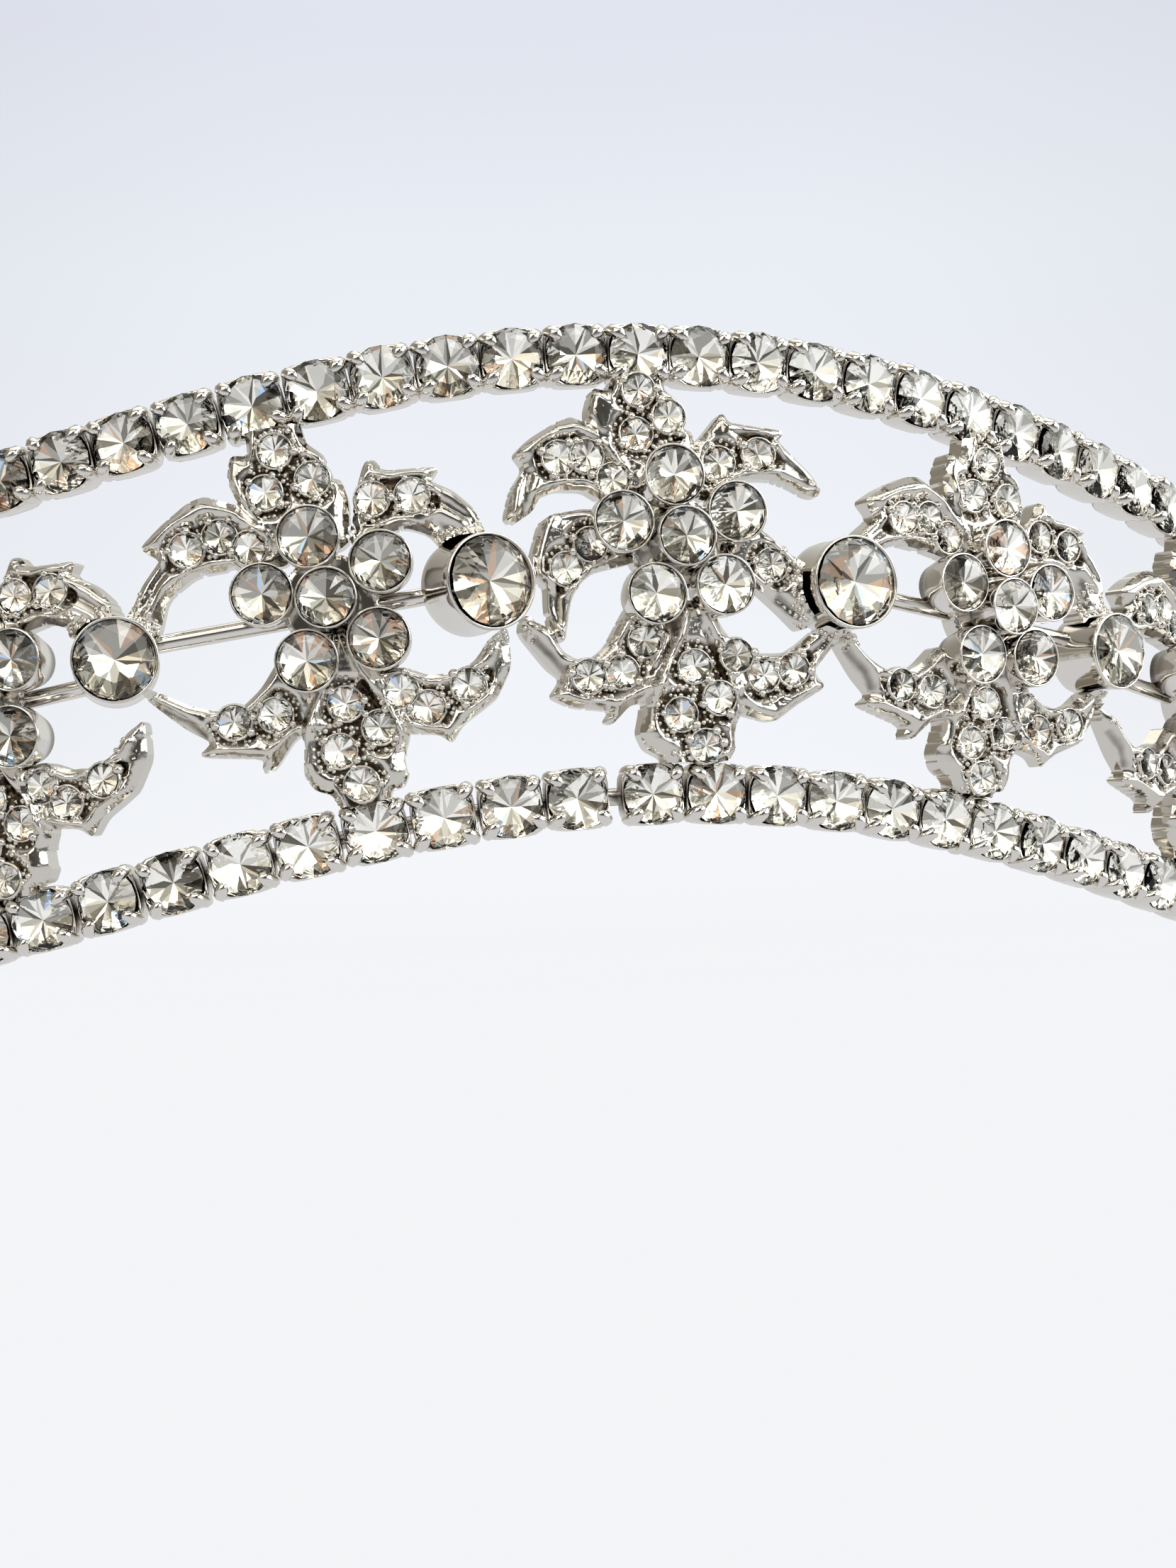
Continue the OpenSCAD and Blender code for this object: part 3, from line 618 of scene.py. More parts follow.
centrePattern = {
    "heart": (0.5, 1.7),
    "leaves": [
        (0.0, [(-1.4, 4.4), (-3.6, 4), (-4.6, 4.6), (-6.2, 4.6), (-7.2, 4.2), (-7.6, 3.4), (-8.8, 2.6),
               (-9.2, 3), (-8.8, 4.6), (-8, 5.8), (-8.6, 6.6), (-7.8, 7.4), (-6.2, 8.4), (-5.2, 8.8),
               (-3.6, 8), (-1.4, 6.4)]),
        (0.0, [(1.6, 4.4), (1.8, 7.2), (2.6, 8), (3.6, 9.2), (4.2, 8.6), (7.4, 8.2), (7, 7.6), (8, 6.6),
               (9, 5.7), (9.5, 4.9), (9.3, 4.4), (8.7, 4.5), (7.8, 5), (6.6, 5.4), (5, 5.4), (3.8, 5),
               (2.8, 4)]),
        (-0.05, [(-1.6, 3.2), (-4.6, 3.6), (-6.6, 3.2), (-7.2, 2.8), (-7.8, 0.8), (-7.8, -0.4), (-7, -0.8),
                 (-7, -2), (-6.8, -3.4), (-6, -4), (-5.6, -1.6), (-5, -0.6), (-4.2, 0), (-1.6, 0.6)]),
        (-0.05, [(4, 3.2), (5.8, 2.6), (7.8, 0.8), (8.8, -0.4), (9.4, -1.4), (9, -2.6), (8, -3.4),
                 (6.8, -2.2), (5, -0.6), (3, 0.6)]),
        (-0.1, [(-8.4, -2.4), (-6.8, -3.2), (-6.2, -4.4), (-5.4, -4.9), (-4.4, -4.8), (-3.6, -4.2),
                (-2.8, -2.8), (-2.2, -1.8), (0, -2.4), (0, -7.4), (-2.2, -7.4), (-3.4, -8.6), (-3.8, -8.4),
                (-3.4, -7.8), (-5.6, -7.6), (-6.9, -7), (-6.2, -6), (-7, -5.4), (-8.6, -3.4)]),
        (-0.1, [(1.6, -2.4), (2.8, -2.6), (3.6, -3.8), (5, -4.6), (7, -4.6), (8, -4), (9, -3.2),
                (10.4, -2.8), (10.2, -4), (8.8, -5.6), (9.4, -6.6), (7.6, -7.6), (6.2, -8.6), (4, -8),
                (2, -6.2)]),
        (0.25, [(x - 1.2, y + 0.8) for x, y in topLeaf]), (0.2, [(x, y - 0.6) for x, y in bottomLeaf])],
    "veins": [
        (0.3, 0.28, [(-8.4, 6.6), (-7.6, 7.2), (-6.2, 8.0), (-5.0, 8.1), (-3.6, 7.0), (-2.2, 5.6),
                     (-1.0, 4.6)]),
        (0.28, 0.22, [(-8.1, 5.8), (-8.6, 4.6), (-8.8, 3.2)]),
        (-0.35, 0.2, [(-7.8, 5.4), (-8.1, 4.2), (-8.3, 3.2)]),
        (0.28, 0.24, [(-7.6, 4.4), (-7.0, 4.6), (-5.8, 4.9), (-4.4, 4.8), (-3.6, 4.3)]),
        (0.28, 0.24, [(2.4, 7.6), (3.1, 8.4), (3.7, 9.0)]),
        (0.3, 0.24, [(4.0, 8.4), (5.6, 8.25), (7.2, 8.1)]),
        (-0.3, 0.18, [(4.4, 7.9), (6.6, 7.7)]),
        (0.28, 0.26, [(7.0, 7.4), (8.0, 6.4), (8.9, 5.4), (9.2, 4.8)]),
        (-0.35, 0.22, [(6.8, 6.6), (7.8, 5.9), (8.6, 5.2)]),
        (0.28, 0.24, [(3.6, 5.1), (5.0, 5.6), (6.6, 5.7), (8.2, 5.2), (9.2, 4.7)]),
        (0.3, 0.26, [(-6.6, 3.1), (-7.0, 2.4), (-7.5, 0.8), (-7.6, -0.2), (-7.1, -0.6)]),
        (0.26, 0.22, [(-6.6, 3.1), (-5.2, 3.3), (-3.8, 3.3)]),
        (0.28, 0.2, [(-7.0, -0.9), (-6.9, -2.2), (-6.3, -3.6)]),
        (0.28, 0.2, [(-4.6, -0.2), (-5.6, -1.0), (-6.0, -2.4), (-6.2, -3.6)]),
        (-0.35, 0.18, [(-6.3, -0.6), (-6.5, -2.0), (-6.4, -3.0)]),
        (0.3, 0.26, [(5.6, 2.5), (6.8, 1.4), (8.0, 0.4)]),
        (0.3, 0.26, [(4.6, -0.2), (5.8, -1.4), (7.0, -2.5), (8.0, -3.2)]),
        (-0.3, 0.2, [(6.6, -1.4), (7.6, -2.2)]),
        (0.3, 0.26, [(-8.2, -2.8), (-6.9, -3.6), (-6.2, -4.8), (-5.2, -5.2), (-4.2, -5.0), (-3.2, -3.8),
                     (-2.4, -2.4)]),
        (-0.35, 0.2, [(-7.8, -3.8), (-6.8, -4.8), (-6.2, -5.6)]),
        (0.32, 0.26, [(-6.7, -6.9), (-5.4, -7.3), (-3.4, -7.5), (-2.2, -6.8), (-1.0, -6.4)]),
        (0.3, 0.26, [(3.4, -3.9), (4.6, -4.9), (6.4, -5.0), (7.8, -4.4), (9.2, -3.5)]),
        (-0.35, 0.2, [(8.0, -5.0), (9.0, -4.3), (9.6, -3.6)]),
        (0.28, 0.22, [(8.4, -5.4), (9.4, -4.4), (10.0, -3.6)]),
        (0.32, 0.26, [(9.2, -6.5), (7.6, -7.3), (6.2, -8.2), (5.0, -7.9), (3.8, -6.8)]),
        (0.45, 0.2, [(0.9, -0.8), (0.8, -2.4), (0.3, -4.2), (-0.6, -5.8), (-1.2, -7.2)]),
        (-0.4, 0.15, [(0.3, -2.8), (-0.2, -4.4), (-1.0, -6.0)]),
        (0.42, 0.2, [(1.5, -1.0), (2.2, -2.8), (3.2, -4.6), (4.0, -6.6)]),
        (-0.4, 0.15, [(2.0, -3.4), (2.8, -5.2), (3.4, -6.8)]),
        (0.35, 0.2, [(2.6, -2.4), (3.4, -4.2), (4.4, -6.4)]),
        (0.3, 0.24, [(-4.0, 9.8), (-4.2, 9.0), (-3.8, 8.0)]),
        (0.3, 0.24, [(0.4, 9.8), (1.2, 9.4), (1.2, 8.4)])],
    "small": [(-1.5, 10.2), (0.2, 8.7), (-1.7, 7.7), (-6.2, 6.3), (-4.6, 6.4), (-3.1, 5.1), (3.2, 6.2),
              (5.6, 6.7), (-4.5, 1.5), (-5.9, 0.1), (6.2, 0.4), (-1.5, -3.9), (-2.9, -5.7), (-4.8, -5.9),
              (3.8, -4.8), (5.5, -5.9), (7.3, -5.6), (1.3, -5.4), (2.7, -7.2), (0.4, -8.1), (1.8, -9.9)],
    "clumps": [(-7.9, -2.4, 1.0, 22), (8.6, -1.2, 1.1, 24), (-8.2, -3.4, 0.8, 14), (7.9, 0.4, 0.7, 10),
               (0.6, -10.8, 1.1, 18), (-1.6, 11.0, 1.2, 20), (2.1, 4.6, 0.8, 12), (-1.3, 6.2, 0.6, 8),
               (3.6, 2.2, 0.6, 8), (-1.4, 1.0, 0.6, 8)]}


# distance from a line of points: that of the nearest of its straight stretches
def lineDistance(x, y, points):
    near = np.full(x.shape, 1e9)
    for (ax, ay), (bx, by) in zip(points[:-1], points[1:]):
        ex, ey = bx - ax, by - ay
        t = np.clip(((x - ax) * ex + (y - ay) * ey) / (ex * ex + ey * ey), 0, 1)
        near = np.minimum(near, np.hypot(x - ax - t * ex, y - ay - t * ey))
    return near


# signed distance to a closed outline, inside positive: the sign comes from how often a line to the right
# crosses the outline
def outlineDistance(x, y, outline):
    closed = np.concatenate([outline, outline[:1]])
    inside = np.zeros(x.shape, bool)
    for (ax, ay), (bx, by) in zip(closed[:-1], closed[1:]):
        inside ^= ((ay > y) != (by > y)) & (x < (bx - ax) * (y - ay) / (by - ay if by != ay else 1e-9) + ax)
    near = lineDistance(x, y, closed)
    return np.where(inside, near, -near)


# a sharp outline is rounded by two rounds of cutting its corners, at cornerCut of each side's length
def rounded(outline):
    p = np.asarray(outline, float)
    cut = leaf["cornerCut"]
    for _ in range(2):
        n = np.roll(p, -1, axis=0)
        p = np.stack([p * (1 - cut) + n * cut, p * cut + n * (1 - cut)], 1).reshape(-1, 2)
    return p


# height of a casting: over each leaf a round shoulder rises from the outline, and past the rim's width the
# ground sinks; the highest leaf wins. Veins add or take a bell curve of their distance. Returns the height,
# the sunk share and the share of groove
def castingHeight(x, y, pattern, outlines):
    height = np.full(x.shape, -9.0)
    sunk = np.zeros(x.shape)
    toStone = np.min([np.hypot(x - cx, y - cy) for cx, cy in pattern["small"]], axis=0)
    field = 1 - smoothStep((toStone - leaf["fieldReach"]) / leaf["fieldBlend"])
    for (lift, _), outline in zip(pattern["leaves"], outlines):
        d = outlineDistance(x, y, outline)
        width = leaf["barWidth"] + (leaf["rimWidth"] - leaf["barWidth"]) * field
        dome = 1 - np.clip(1 - d / width, 0, 1) ** 2
        well = (d - leaf["rimWidth"] * leaf["wellFrom"]) / (leaf["rimWidth"] * leaf["wellBlend"])
        well = smoothStep(well) * field
        level = leaf["front"] + lift - leaf["shoulder"] * (1 - dome) - leaf["sink"] * well
        better = (d > -0.3) & (level > height)
        height = np.where(better, level, height)
        sunk = np.where(better, well, sunk)
    groove = np.zeros(x.shape)
    vein = np.zeros(x.shape)
    for rise, width, points in pattern["veins"]:
        bell = np.exp(-(lineDistance(x, y, points) / (width * leaf["veinSpread"])) ** 2)
        height = height + rise * bell * (leaf["grooveShare"] if rise < 0 else 1)
        if rise < 0:
            groove = np.maximum(groove, bell)
        else:
            vein = np.maximum(vein, bell)
    # lumps of cast metal: crossing sine waves, strong on the sunk ground and faint elsewhere
    fine = np.sin(15.3 * x + 4.1 * y + 2 * np.sin(3.7 * y)) * np.sin(13.9 * y - 5.3 * x + 2 * np.sin(4.3 * x))
    coarse = 0.6 * np.sin(7.7 * x - 9.1 * y) * np.sin(8.3 * x + 6.1 * y)
    height = height + (fine + coarse) * leaf["lumps"] * np.maximum(sunk, leaf["lumpsLow"]) * (1 - vein)
    return height, sunk * (1 - vein), groove


# what the parts of one casting share: its pattern, how a drawn point is set on the band, the neighbouring
# tubes as circles (x, y, radius) seen from its own plane, the places (x, y, height) of its small stones, and
# the signed distance to its edge
def planCasting(number):
    s = (number - centreMotif) * band["motifPitch"]
    turn = float(slopeAt(s)) * band["slopeShare"]
    pattern = centrePattern if number == centreMotif else sidePattern
    outlines = [rounded(outline) for _, outline in pattern["leaves"]]
    reach = halfSpan * math.cos(float(slopeAt(s))) - band["cupHalf"] + leaf["rowOverlap"]

    def onCasting(points):
        return onBand(points, s, halfSpan, turn)

    origin, *ends = onCasting(np.array([[0, 0, 0], [1, 0, 0], [0, 1, 0], [0, 0, 1.0]]))
    axes = np.stack([end - origin for end in ends])
    tubes = [(*(axes @ (onCollet(np.array([0, 0, 0.2]), i) - origin))[:2], collet["outer"] * colletShare(i))
             for i in (number, number + 1)]

    def edgeDistance(x, y):
        d = np.max([outlineDistance(x, y, o) for o in outlines], axis=0)
        d = np.maximum(d, leaf["flowerDisc"] - np.hypot(x - pattern["heart"][0], y - pattern["heart"][1]))
        d = np.minimum(d, reach - np.abs(y))
        for tubeX, tubeY, radius in tubes:
            d = np.minimum(d, np.hypot(x - tubeX, y - tubeY) - radius - leaf["tubeGap"])
        return d

    small = np.array(pattern["small"])
    heights = castingHeight(small[:, 0], small[:, 1], pattern, outlines)[0] + seat["rise"]
    seats = np.column_stack([small, np.clip(heights, *seat["range"])])
    return SimpleNamespace(pattern=pattern, outlines=outlines, tubes=tubes, seats=seats,
                           onCasting=onCasting, edgeDistance=edgeDistance)


# the cells of the grid that lie inside the edge, and their points. Points just outside or just inside the
# edge are moved onto it, against the slope of the distance
def castingCells(plan):
    cell, share = leaf["cell"], leaf["edgeShare"]
    gx, gy = np.meshgrid(np.arange(-leaf["halfWidth"], leaf["halfWidth"] + 0.01, cell),
                         np.arange(-leaf["halfHeight"], leaf["halfHeight"] + 0.01, cell), indexing="ij")
    d = plan.edgeDistance(gx, gy)
    slopeX, slopeY = np.gradient(d, cell)
    size = np.maximum(np.hypot(slopeX, slopeY), 0.3)
    near = np.abs(d) < cell * share
    x = np.where(near, gx - d * slopeX / size ** 2, gx).ravel()
    y = np.where(near, gy - d * slopeY / size ** 2, gy).ravel()
    cells = gridFaces(*gx.shape)[:, ::-1]
    depths = d.ravel()[cells]
    cells = cells[(depths > -cell * share).all(1) & ((depths > -cell * 0.1).sum(1) >= 3)]
    used = np.unique(cells)
    renumber = np.full(gx.size, -1)
    renumber[used] = np.arange(len(used))
    return x[used], y[used], renumber[cells]


# front skin with its relief, bevelled back skin, and walls between them
def keepSkins(parts, plan):
    x, y, cells = castingCells(plan)
    height, sunk, groove = castingHeight(x, y, plan.pattern, plan.outlines)
    toTube = np.min([np.hypot(x - tubeX, y - tubeY) - radius for tubeX, tubeY, radius in plan.tubes], axis=0)
    solder = smoothStep(1 - toTube / leaf["solderReach"])
    ripple = leaf["solderRipple"] * np.sin(9 * x) * np.sin(8 * y)
    soldered = leaf["solderLow"] + leaf["solderRise"] * solder + ripple
    height = np.where(solder > 0, np.maximum(height, soldered), height)
    height = np.where(height < -1, leaf["bareHeight"], height)
    heart = np.hypot(x - plan.pattern["heart"][0], y - plan.pattern["heart"][1])
    height = np.where(heart < leaf["flowerDisc"], np.maximum(height, leaf["discHeight"]), height)
    for seatX, seatY, seatZ in plan.seats:
        within = np.hypot(x - seatX, y - seatY) < seat["radius"] * seat["hollowShare"]
        height = np.where(within, np.minimum(height, seatZ - seat["hollow"]), height)
    bevel = leaf["backBevel"] * smoothStep(np.maximum(plan.edgeDistance(x, y), 0) / leaf["bevelWidth"])
    front = np.stack([x, y, height], -1)
    back = np.stack([x, y, leaf["back"] + bevel], -1)
    n = len(x)
    # grime and painted shade: darkest on the sunk ground and in the grooves
    grimeAndShade = np.clip(leaf["sunkGrimeAndShade"] * sunk + leaf["grooveGrimeAndShade"] * groove + leaf["grimeAndShade"], 0, 1)
    keep(parts, plan.onCasting(front), cells, 0, True, grimeAndShade)
    keep(parts, plan.onCasting(back), cells[:, ::-1], 0, True, leaf["backGrime"])
    # a wall stands along every edge that only one cell has
    edges = np.concatenate([cells[:, [i, (i + 1) % 4]] for i in range(4)])
    _, first, count = np.unique(edges.min(1) * n + edges.max(1), return_index=True, return_counts=True)
    rim = edges[first[count == 1]]
    wall = np.stack([rim[:, 1], rim[:, 0], rim[:, 0] + n, rim[:, 1] + n], -1)
    grimeAndShade = np.repeat([leaf["grimeAndShade"], leaf["backEdgeGrime"]], n)
    keep(parts, plan.onCasting(np.concatenate([front, back])), wall, 0, True, grimeAndShade)


beads = {"profile": [(1.0, -0.3), (0.92, 0.35), (0.5, 0.85), (0.02, 1.0)], "steps": 7, "gap": 0.36,
         "halfWidth": 10, "halfHeight": 10.8, "jitter": 0.13, "sizes": (0.09, 0.19), "clearOfStone": 1.16,
         "clumpSpread": 0.45, "clumpRange": (0.1, 1.2), "solderCount": 260, "solderFrom": 0.15,
         "solderLimit": 10.4, "grainAt": 1.12, "grainSpin": 0.25, "grainSizes": (0.2, 0.34),
         "grainSink": 0.06, "rowShare": 0.87, "leastSunk": 0.45, "mostGroove": 0.5, "lift": 0.03,
         "clumpLift": 0.02, "inside": 0.2, "clumpInside": 0.1, "solderInside": 0.12, "sizeShare": 0.9}
beadShape, beadFaces = turned(beads["profile"], beads["steps"])


# beads on the sunk ground, in clumps and round the feet of the tubes, and larger grains pressed against each
# small stone. None stands in a tube
def keepBeads(parts, plan, chance):
    gap, small = beads["gap"], plan.seats[:, :2]
    x, y = np.meshgrid(np.arange(-beads["halfWidth"], beads["halfWidth"], gap),
                       np.arange(-beads["halfHeight"], beads["halfHeight"], gap * beads["rowShare"]),
                       indexing="ij")
    x = x + (np.arange(x.shape[1]) % 2)[None] * gap / 2
    x, y = (q.ravel() + chance.uniform(-beads["jitter"], beads["jitter"], q.size) for q in (x, y))
    height, sunk, groove = castingHeight(x, y, plan.pattern, plan.outlines)
    ok = (sunk > beads["leastSunk"]) & (groove < beads["mostGroove"])
    ok &= plan.edgeDistance(x, y) > beads["inside"]
    for seatX, seatY in small:
        ok &= np.hypot(x - seatX, y - seatY) > seat["radius"] * beads["clearOfStone"]
    places = [np.stack([x, y, height + beads["lift"]], -1)[ok]]
    for clumpX, clumpY, spread, count in plan.pattern["clumps"]:
        clump = chance.normal(0, spread * beads["clumpSpread"], (count, 2)) + (clumpX, clumpY)
        clump = clump[plan.edgeDistance(clump[:, 0], clump[:, 1]) > beads["clumpInside"]]
        height = castingHeight(clump[:, 0], clump[:, 1], plan.pattern, plan.outlines)[0]
        height = np.clip(height, *beads["clumpRange"]) + beads["clumpLift"]
        places.append(np.column_stack([clump, height]))
    for tubeX, tubeY, radius in plan.tubes:
        angle = chance.uniform(0, 2 * np.pi, beads["solderCount"])
        out = radius + chance.uniform(beads["solderFrom"], leaf["solderReach"], beads["solderCount"])
        ring = np.stack([tubeX + out * np.cos(angle), tubeY + out * np.sin(angle)], -1)
        ring = ring[(np.abs(ring) < beads["solderLimit"]).all(1)]
        ring = ring[plan.edgeDistance(ring[:, 0], ring[:, 1]) > beads["solderInside"]]
        past = np.hypot(ring[:, 0] - tubeX, ring[:, 1] - tubeY) - radius
        solder = smoothStep(1 - past / leaf["solderReach"])
        places.append(np.column_stack([ring, leaf["solderLow"] + leaf["solderRise"] * solder]))
    places = np.concatenate(places)
    sizes = chance.uniform(*beads["sizes"], len(places))
    angle = chance.uniform(0, 2 * np.pi, (len(small), 1)) + np.arange(4) * np.pi / 2
    angle = angle + chance.normal(0, beads["grainSpin"], (len(small), 4))
    out = seat["radius"] * beads["grainAt"]
    grains = np.stack([small[:, :1] + out * np.cos(angle), small[:, 1:] + out * np.sin(angle),
                       plan.seats[:, 2:] - beads["grainSink"] + 0 * angle], -1).reshape(-1, 3)
    grains = grains[plan.edgeDistance(grains[:, 0], grains[:, 1]) > beads["clumpInside"]]
    places = np.concatenate([places, grains])
    sizes = np.concatenate([sizes, chance.uniform(*beads["grainSizes"], len(grains))])
    for tubeX, tubeY, radius in plan.tubes:
        past = np.hypot(places[:, 0] - tubeX, places[:, 1] - tubeY)
        clear = past > radius + sizes * beads["sizeShare"] + leaf["tubeGap"]
        places, sizes = places[clear], sizes[clear]
    world = plan.onCasting(scatter(beadShape, places, sizes))
    for faces in (beadFaces, endFaces(len(beads["profile"]), beads["steps"])[1:]):
        keep(parts, world, copyFaces(faces, len(beadShape), len(places)), 0)


# raised ring round each small stone, and the stone in it. The ring's grime and painted shade go by the rows
# of its profile; the painted shade sits at its foot and inside the lip, next to the stone
seat = {"radius": 0.93, "rise": 0.28, "range": (0.55, 1.15), "hollow": 0.75, "hollowShare": 0.97, "steps": 20,
        "profile": [(1.2, -0.6), (1.16, -0.15), (1.1, 0.04), (1.03, 0.06), (1.0, -0.05), (0.97, -0.4)],
        "grimeAndShade": [0.5, 0.3, 0.15, 0.3, 0.9, 1.0]}
ringShape, ringFaces = turned(seat["profile"], seat["steps"])
ringGrimeAndShade = np.repeat(seat["grimeAndShade"], seat["steps"])


def keepSmallStones(parts, smallParts, plan, chance):
    n = len(plan.seats)
    world = plan.onCasting(scatter(ringShape, plan.seats, seat["radius"], chance.uniform(0, 1, n)))
    for faces in (ringFaces, endFaces(len(seat["profile"]), seat["steps"])):
        keep(parts, world, copyFaces(faces, len(ringShape), n), 0, True, np.tile(ringGrimeAndShade, n))
    keepStones(smallParts, plan.seats, seat["radius"], plan.onCasting, chance, "small")


# the petals go round the heart at so many degrees. The cup's grime and painted shade go by the rows of its
# profile; the painted shade lies low on the wall under each petal and at the seat under the stone
flower = {"ring": 3.55, "radius": 1.62, "rim": 2.2, "heartRadius": 1.57, "heartRim": 2.8,
          "angles": (97, 25, -48, -118, 166), "wall": 0.13, "steps": 32,
          "grimeAndShade": [0.3, 0.8, 0.6, 0.35, 0.1, 0, 0, 0, 0.5, 1.0]}


# cup of a flower stone: a thin round wall whose lip bends in over the stone's edge
def petalCup(radius, rim):
    wall = radius + flower["wall"]
    return turned([(0.03, leaf["back"] + 0.5), (wall - 0.35, leaf["back"] + 0.5), (wall - 0.12, 0.5),
                   (wall, 1.0), (wall, rim - 0.4), (wall + 0.01, rim - 0.06), (wall - 0.01, rim + 0.03),
                   (wall - 0.07, rim + 0.05), (radius + 0.02, rim + 0.01), (radius - 0.02, rim - 0.62)],
                  flower["steps"])


# flower: one raised stone and five round it, each in its own cup
def keepFlower(parts, flowerParts, plan, chance):
    heartX, heartY = plan.pattern["heart"]
    angles = np.radians(flower["angles"])
    sites = [(heartX + flower["ring"] * np.cos(a), heartY + flower["ring"] * np.sin(a),
              flower["radius"], flower["rim"]) for a in angles]
    sites.append((heartX, heartY, flower["heartRadius"], flower["heartRim"]))
    grimeAndShade = np.repeat(flower["grimeAndShade"], flower["steps"])
    for x, y, radius, rim in sites:
        shape, faces = petalCup(radius, rim)
        for faces in (faces, endFaces(len(flower["grimeAndShade"]), flower["steps"])):
            keep(parts, plan.onCasting(shape + (x, y, 0)), faces, 1, True, grimeAndShade)
        keepStones(flowerParts, np.array([[x, y, rim]]), radius, plan.onCasting, chance, "flower")


rod = {"half": 8.9, "radius": 0.5, "y": 0.1, "z": -0.4, "rings": 9, "steps": 12}


# plain rod behind the flower of a side casting, from collet to collet: circles carried along a straight line
def keepRod(parts, plan):
    x = np.linspace(-rod["half"], rod["half"], rod["rings"])[:, None]
    a = np.arange(rod["steps"])[None] * 2 * np.pi / rod["steps"]
    points = np.stack([x + 0 * a, rod["y"] + rod["radius"] * np.cos(a) + 0 * x,
                       rod["z"] + rod["radius"] * np.sin(a) + 0 * x], -1)
    for faces in (gridFaces(rod["rings"], rod["steps"], True), endFaces(rod["rings"], rod["steps"])):
        keep(parts, plan.onCasting(points), faces, 1)


def makeCastings():
    smallParts, flowerParts = [], []
    for number in range(1, band["motifCount"] + 1):
        chance = np.random.default_rng(leaf["seed"] + number)
        plan = planCasting(number)
        parts = []
        keepSkins(parts, plan)
        keepBeads(parts, plan, chance)
        keepSmallStones(parts, smallParts, plan, chance)
        keepFlower(parts, flowerParts, plan, chance)
        if number != centreMotif:
            keepRod(parts, plan)
        buildPiece("leafCasting%02d" % number, parts, [castSilver, smoothSilver],
                   ["leaf_casting_%d" % number])
    buildPiece("flowerStones", flowerParts, [glass, foil], ["flower_stones"])
    buildPiece("smallStones", smallParts, [glass, foil])


makeCastings()
print("leaf castings made")


# tube with a foot, a slight waist and a thin lip bent in over the stone. Its section is (distance from the
# outer radius, height), from the foot and from the rim
def colletShape(radius):
    back, rim = collet["back"], collet["rim"]
    outside = [(0.06, back), (0.0, back + 0.15), (0.0, back + 0.7), (0.07, back + 1.3), (0.07, rim - 0.8),
               (0.01, rim - 0.15), (0.03, rim + 0.04), (0.1, rim + 0.08), (0.17, rim + 0.05),
               (0.2, rim - 0.3), (0.9, rim - 1.6), (0.9, back + 0.4)]
    section = [(0.03, back), *((radius - inwards, z) for inwards, z in outside), (0.03, back + 0.4)]
    return turned(section, collet["steps"])


def makeCollets():
    grimeAndShade = np.repeat(collet["grimeAndShade"], collet["steps"])
    for i in range(1, band["motifCount"] + 2):
        chance = np.random.default_rng(collet["seed"] + i)
        shape, faces = colletShape(collet["outer"] * colletShare(i))
        parts, stoneParts = [], []
        for faces in (faces, endFaces(len(collet["grimeAndShade"]), collet["steps"])):
            keep(parts, onCollet(shape, i), faces, 0, True, grimeAndShade)
        buildPiece("collet%02d" % i, parts, [smoothSilver], ["collet_%d" % i])
        seats = np.array([[0, 0, collet["rim"] + collet["stoneRise"]]])
        keepStones(stoneParts, seats, collet["stoneRadius"] * colletShare(i) + collet["stoneGrip"],
                   lambda local: onCollet(local, i), chance, "large")
        buildPiece("largeStone%02d" % i, stoneParts, [glass, foil], ["large_stone_%d" % i])


makeCollets()
for node in ("end_loop_left", "end_loop_right"):
    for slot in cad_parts[node].material_slots:
        slot.material = smoothSilver
print("collets and large stones made")


# the backdrop's tones go by the sine of the height angle, and start with the floor's. A reach is the part of
# x, y or height over which one value goes over to the other. Each cone of light is (direction, cosine at its
# soft edge, cosine at its full edge, strength); each lamp is (name, place, width, height, power)
studio = {"floorTone": (0.899, 0.907, 0.93), "floorRadius": 6, "floorSides": 64,
          "tones": ((0.0, (0.899, 0.907, 0.93)), (0.04, (0.91, 0.926, 0.96)),
                    (0.3, (0.823, 0.855, 0.913)), (0.4, (0.755, 0.778, 0.86))),
          "sideways": (0.961, -0.266, 0.0), "sideReach": (0.08, 0.34), "sideShade": 0.07,
          "aboveReach": (0.0, 0.12), "roomReach": (-0.95, 0.25), "room": (0.09, 0.56),
          "paperReach": (-0.16, -0.05), "paper": (0.22, 0.8),
          "stoneRoom": 1.2, "stoneSparkle": 0.6, "stonePaper": 0.95,
          "gainReach": (-0.8, 0.8), "gain": (0.53, 1.46),
          "leftTone": (1.0, 0.925, 0.785), "rightTone": (0.97, 1.0, 0.985),
          "cones": [((-0.5, -0.8, 0.6), 0.94, 0.95, 1.8), ((0.55, -0.8, 0.35), 0.965, 0.975, 1.6),
                    ((-0.95, -0.6, 0.1), 0.955, 0.965, 1.3), ((0.3, -1.0, -0.12), 0.98, 0.987, 1.0),
                    ((-0.55, -0.9, -0.3), 0.975, 0.983, 1.0),
                    ((1.0, -0.2, 0.3), 0.8, 0.84, 1.1), ((0, 0.1, 1), 0.82, 0.86, 0.95)],
          "lamps": [("softLeft", (-0.55, -0.55, 0.5), 0.35, 0.5, 1.1),
                    ("softRight", (0.6, -0.4, 0.35), 0.2, 0.45, 1.3),
                    ("softFront", (0.05, -0.75, 0.75), 0.5, 0.18, 1.1)], "lampAim": (0, 0, 0.02)}


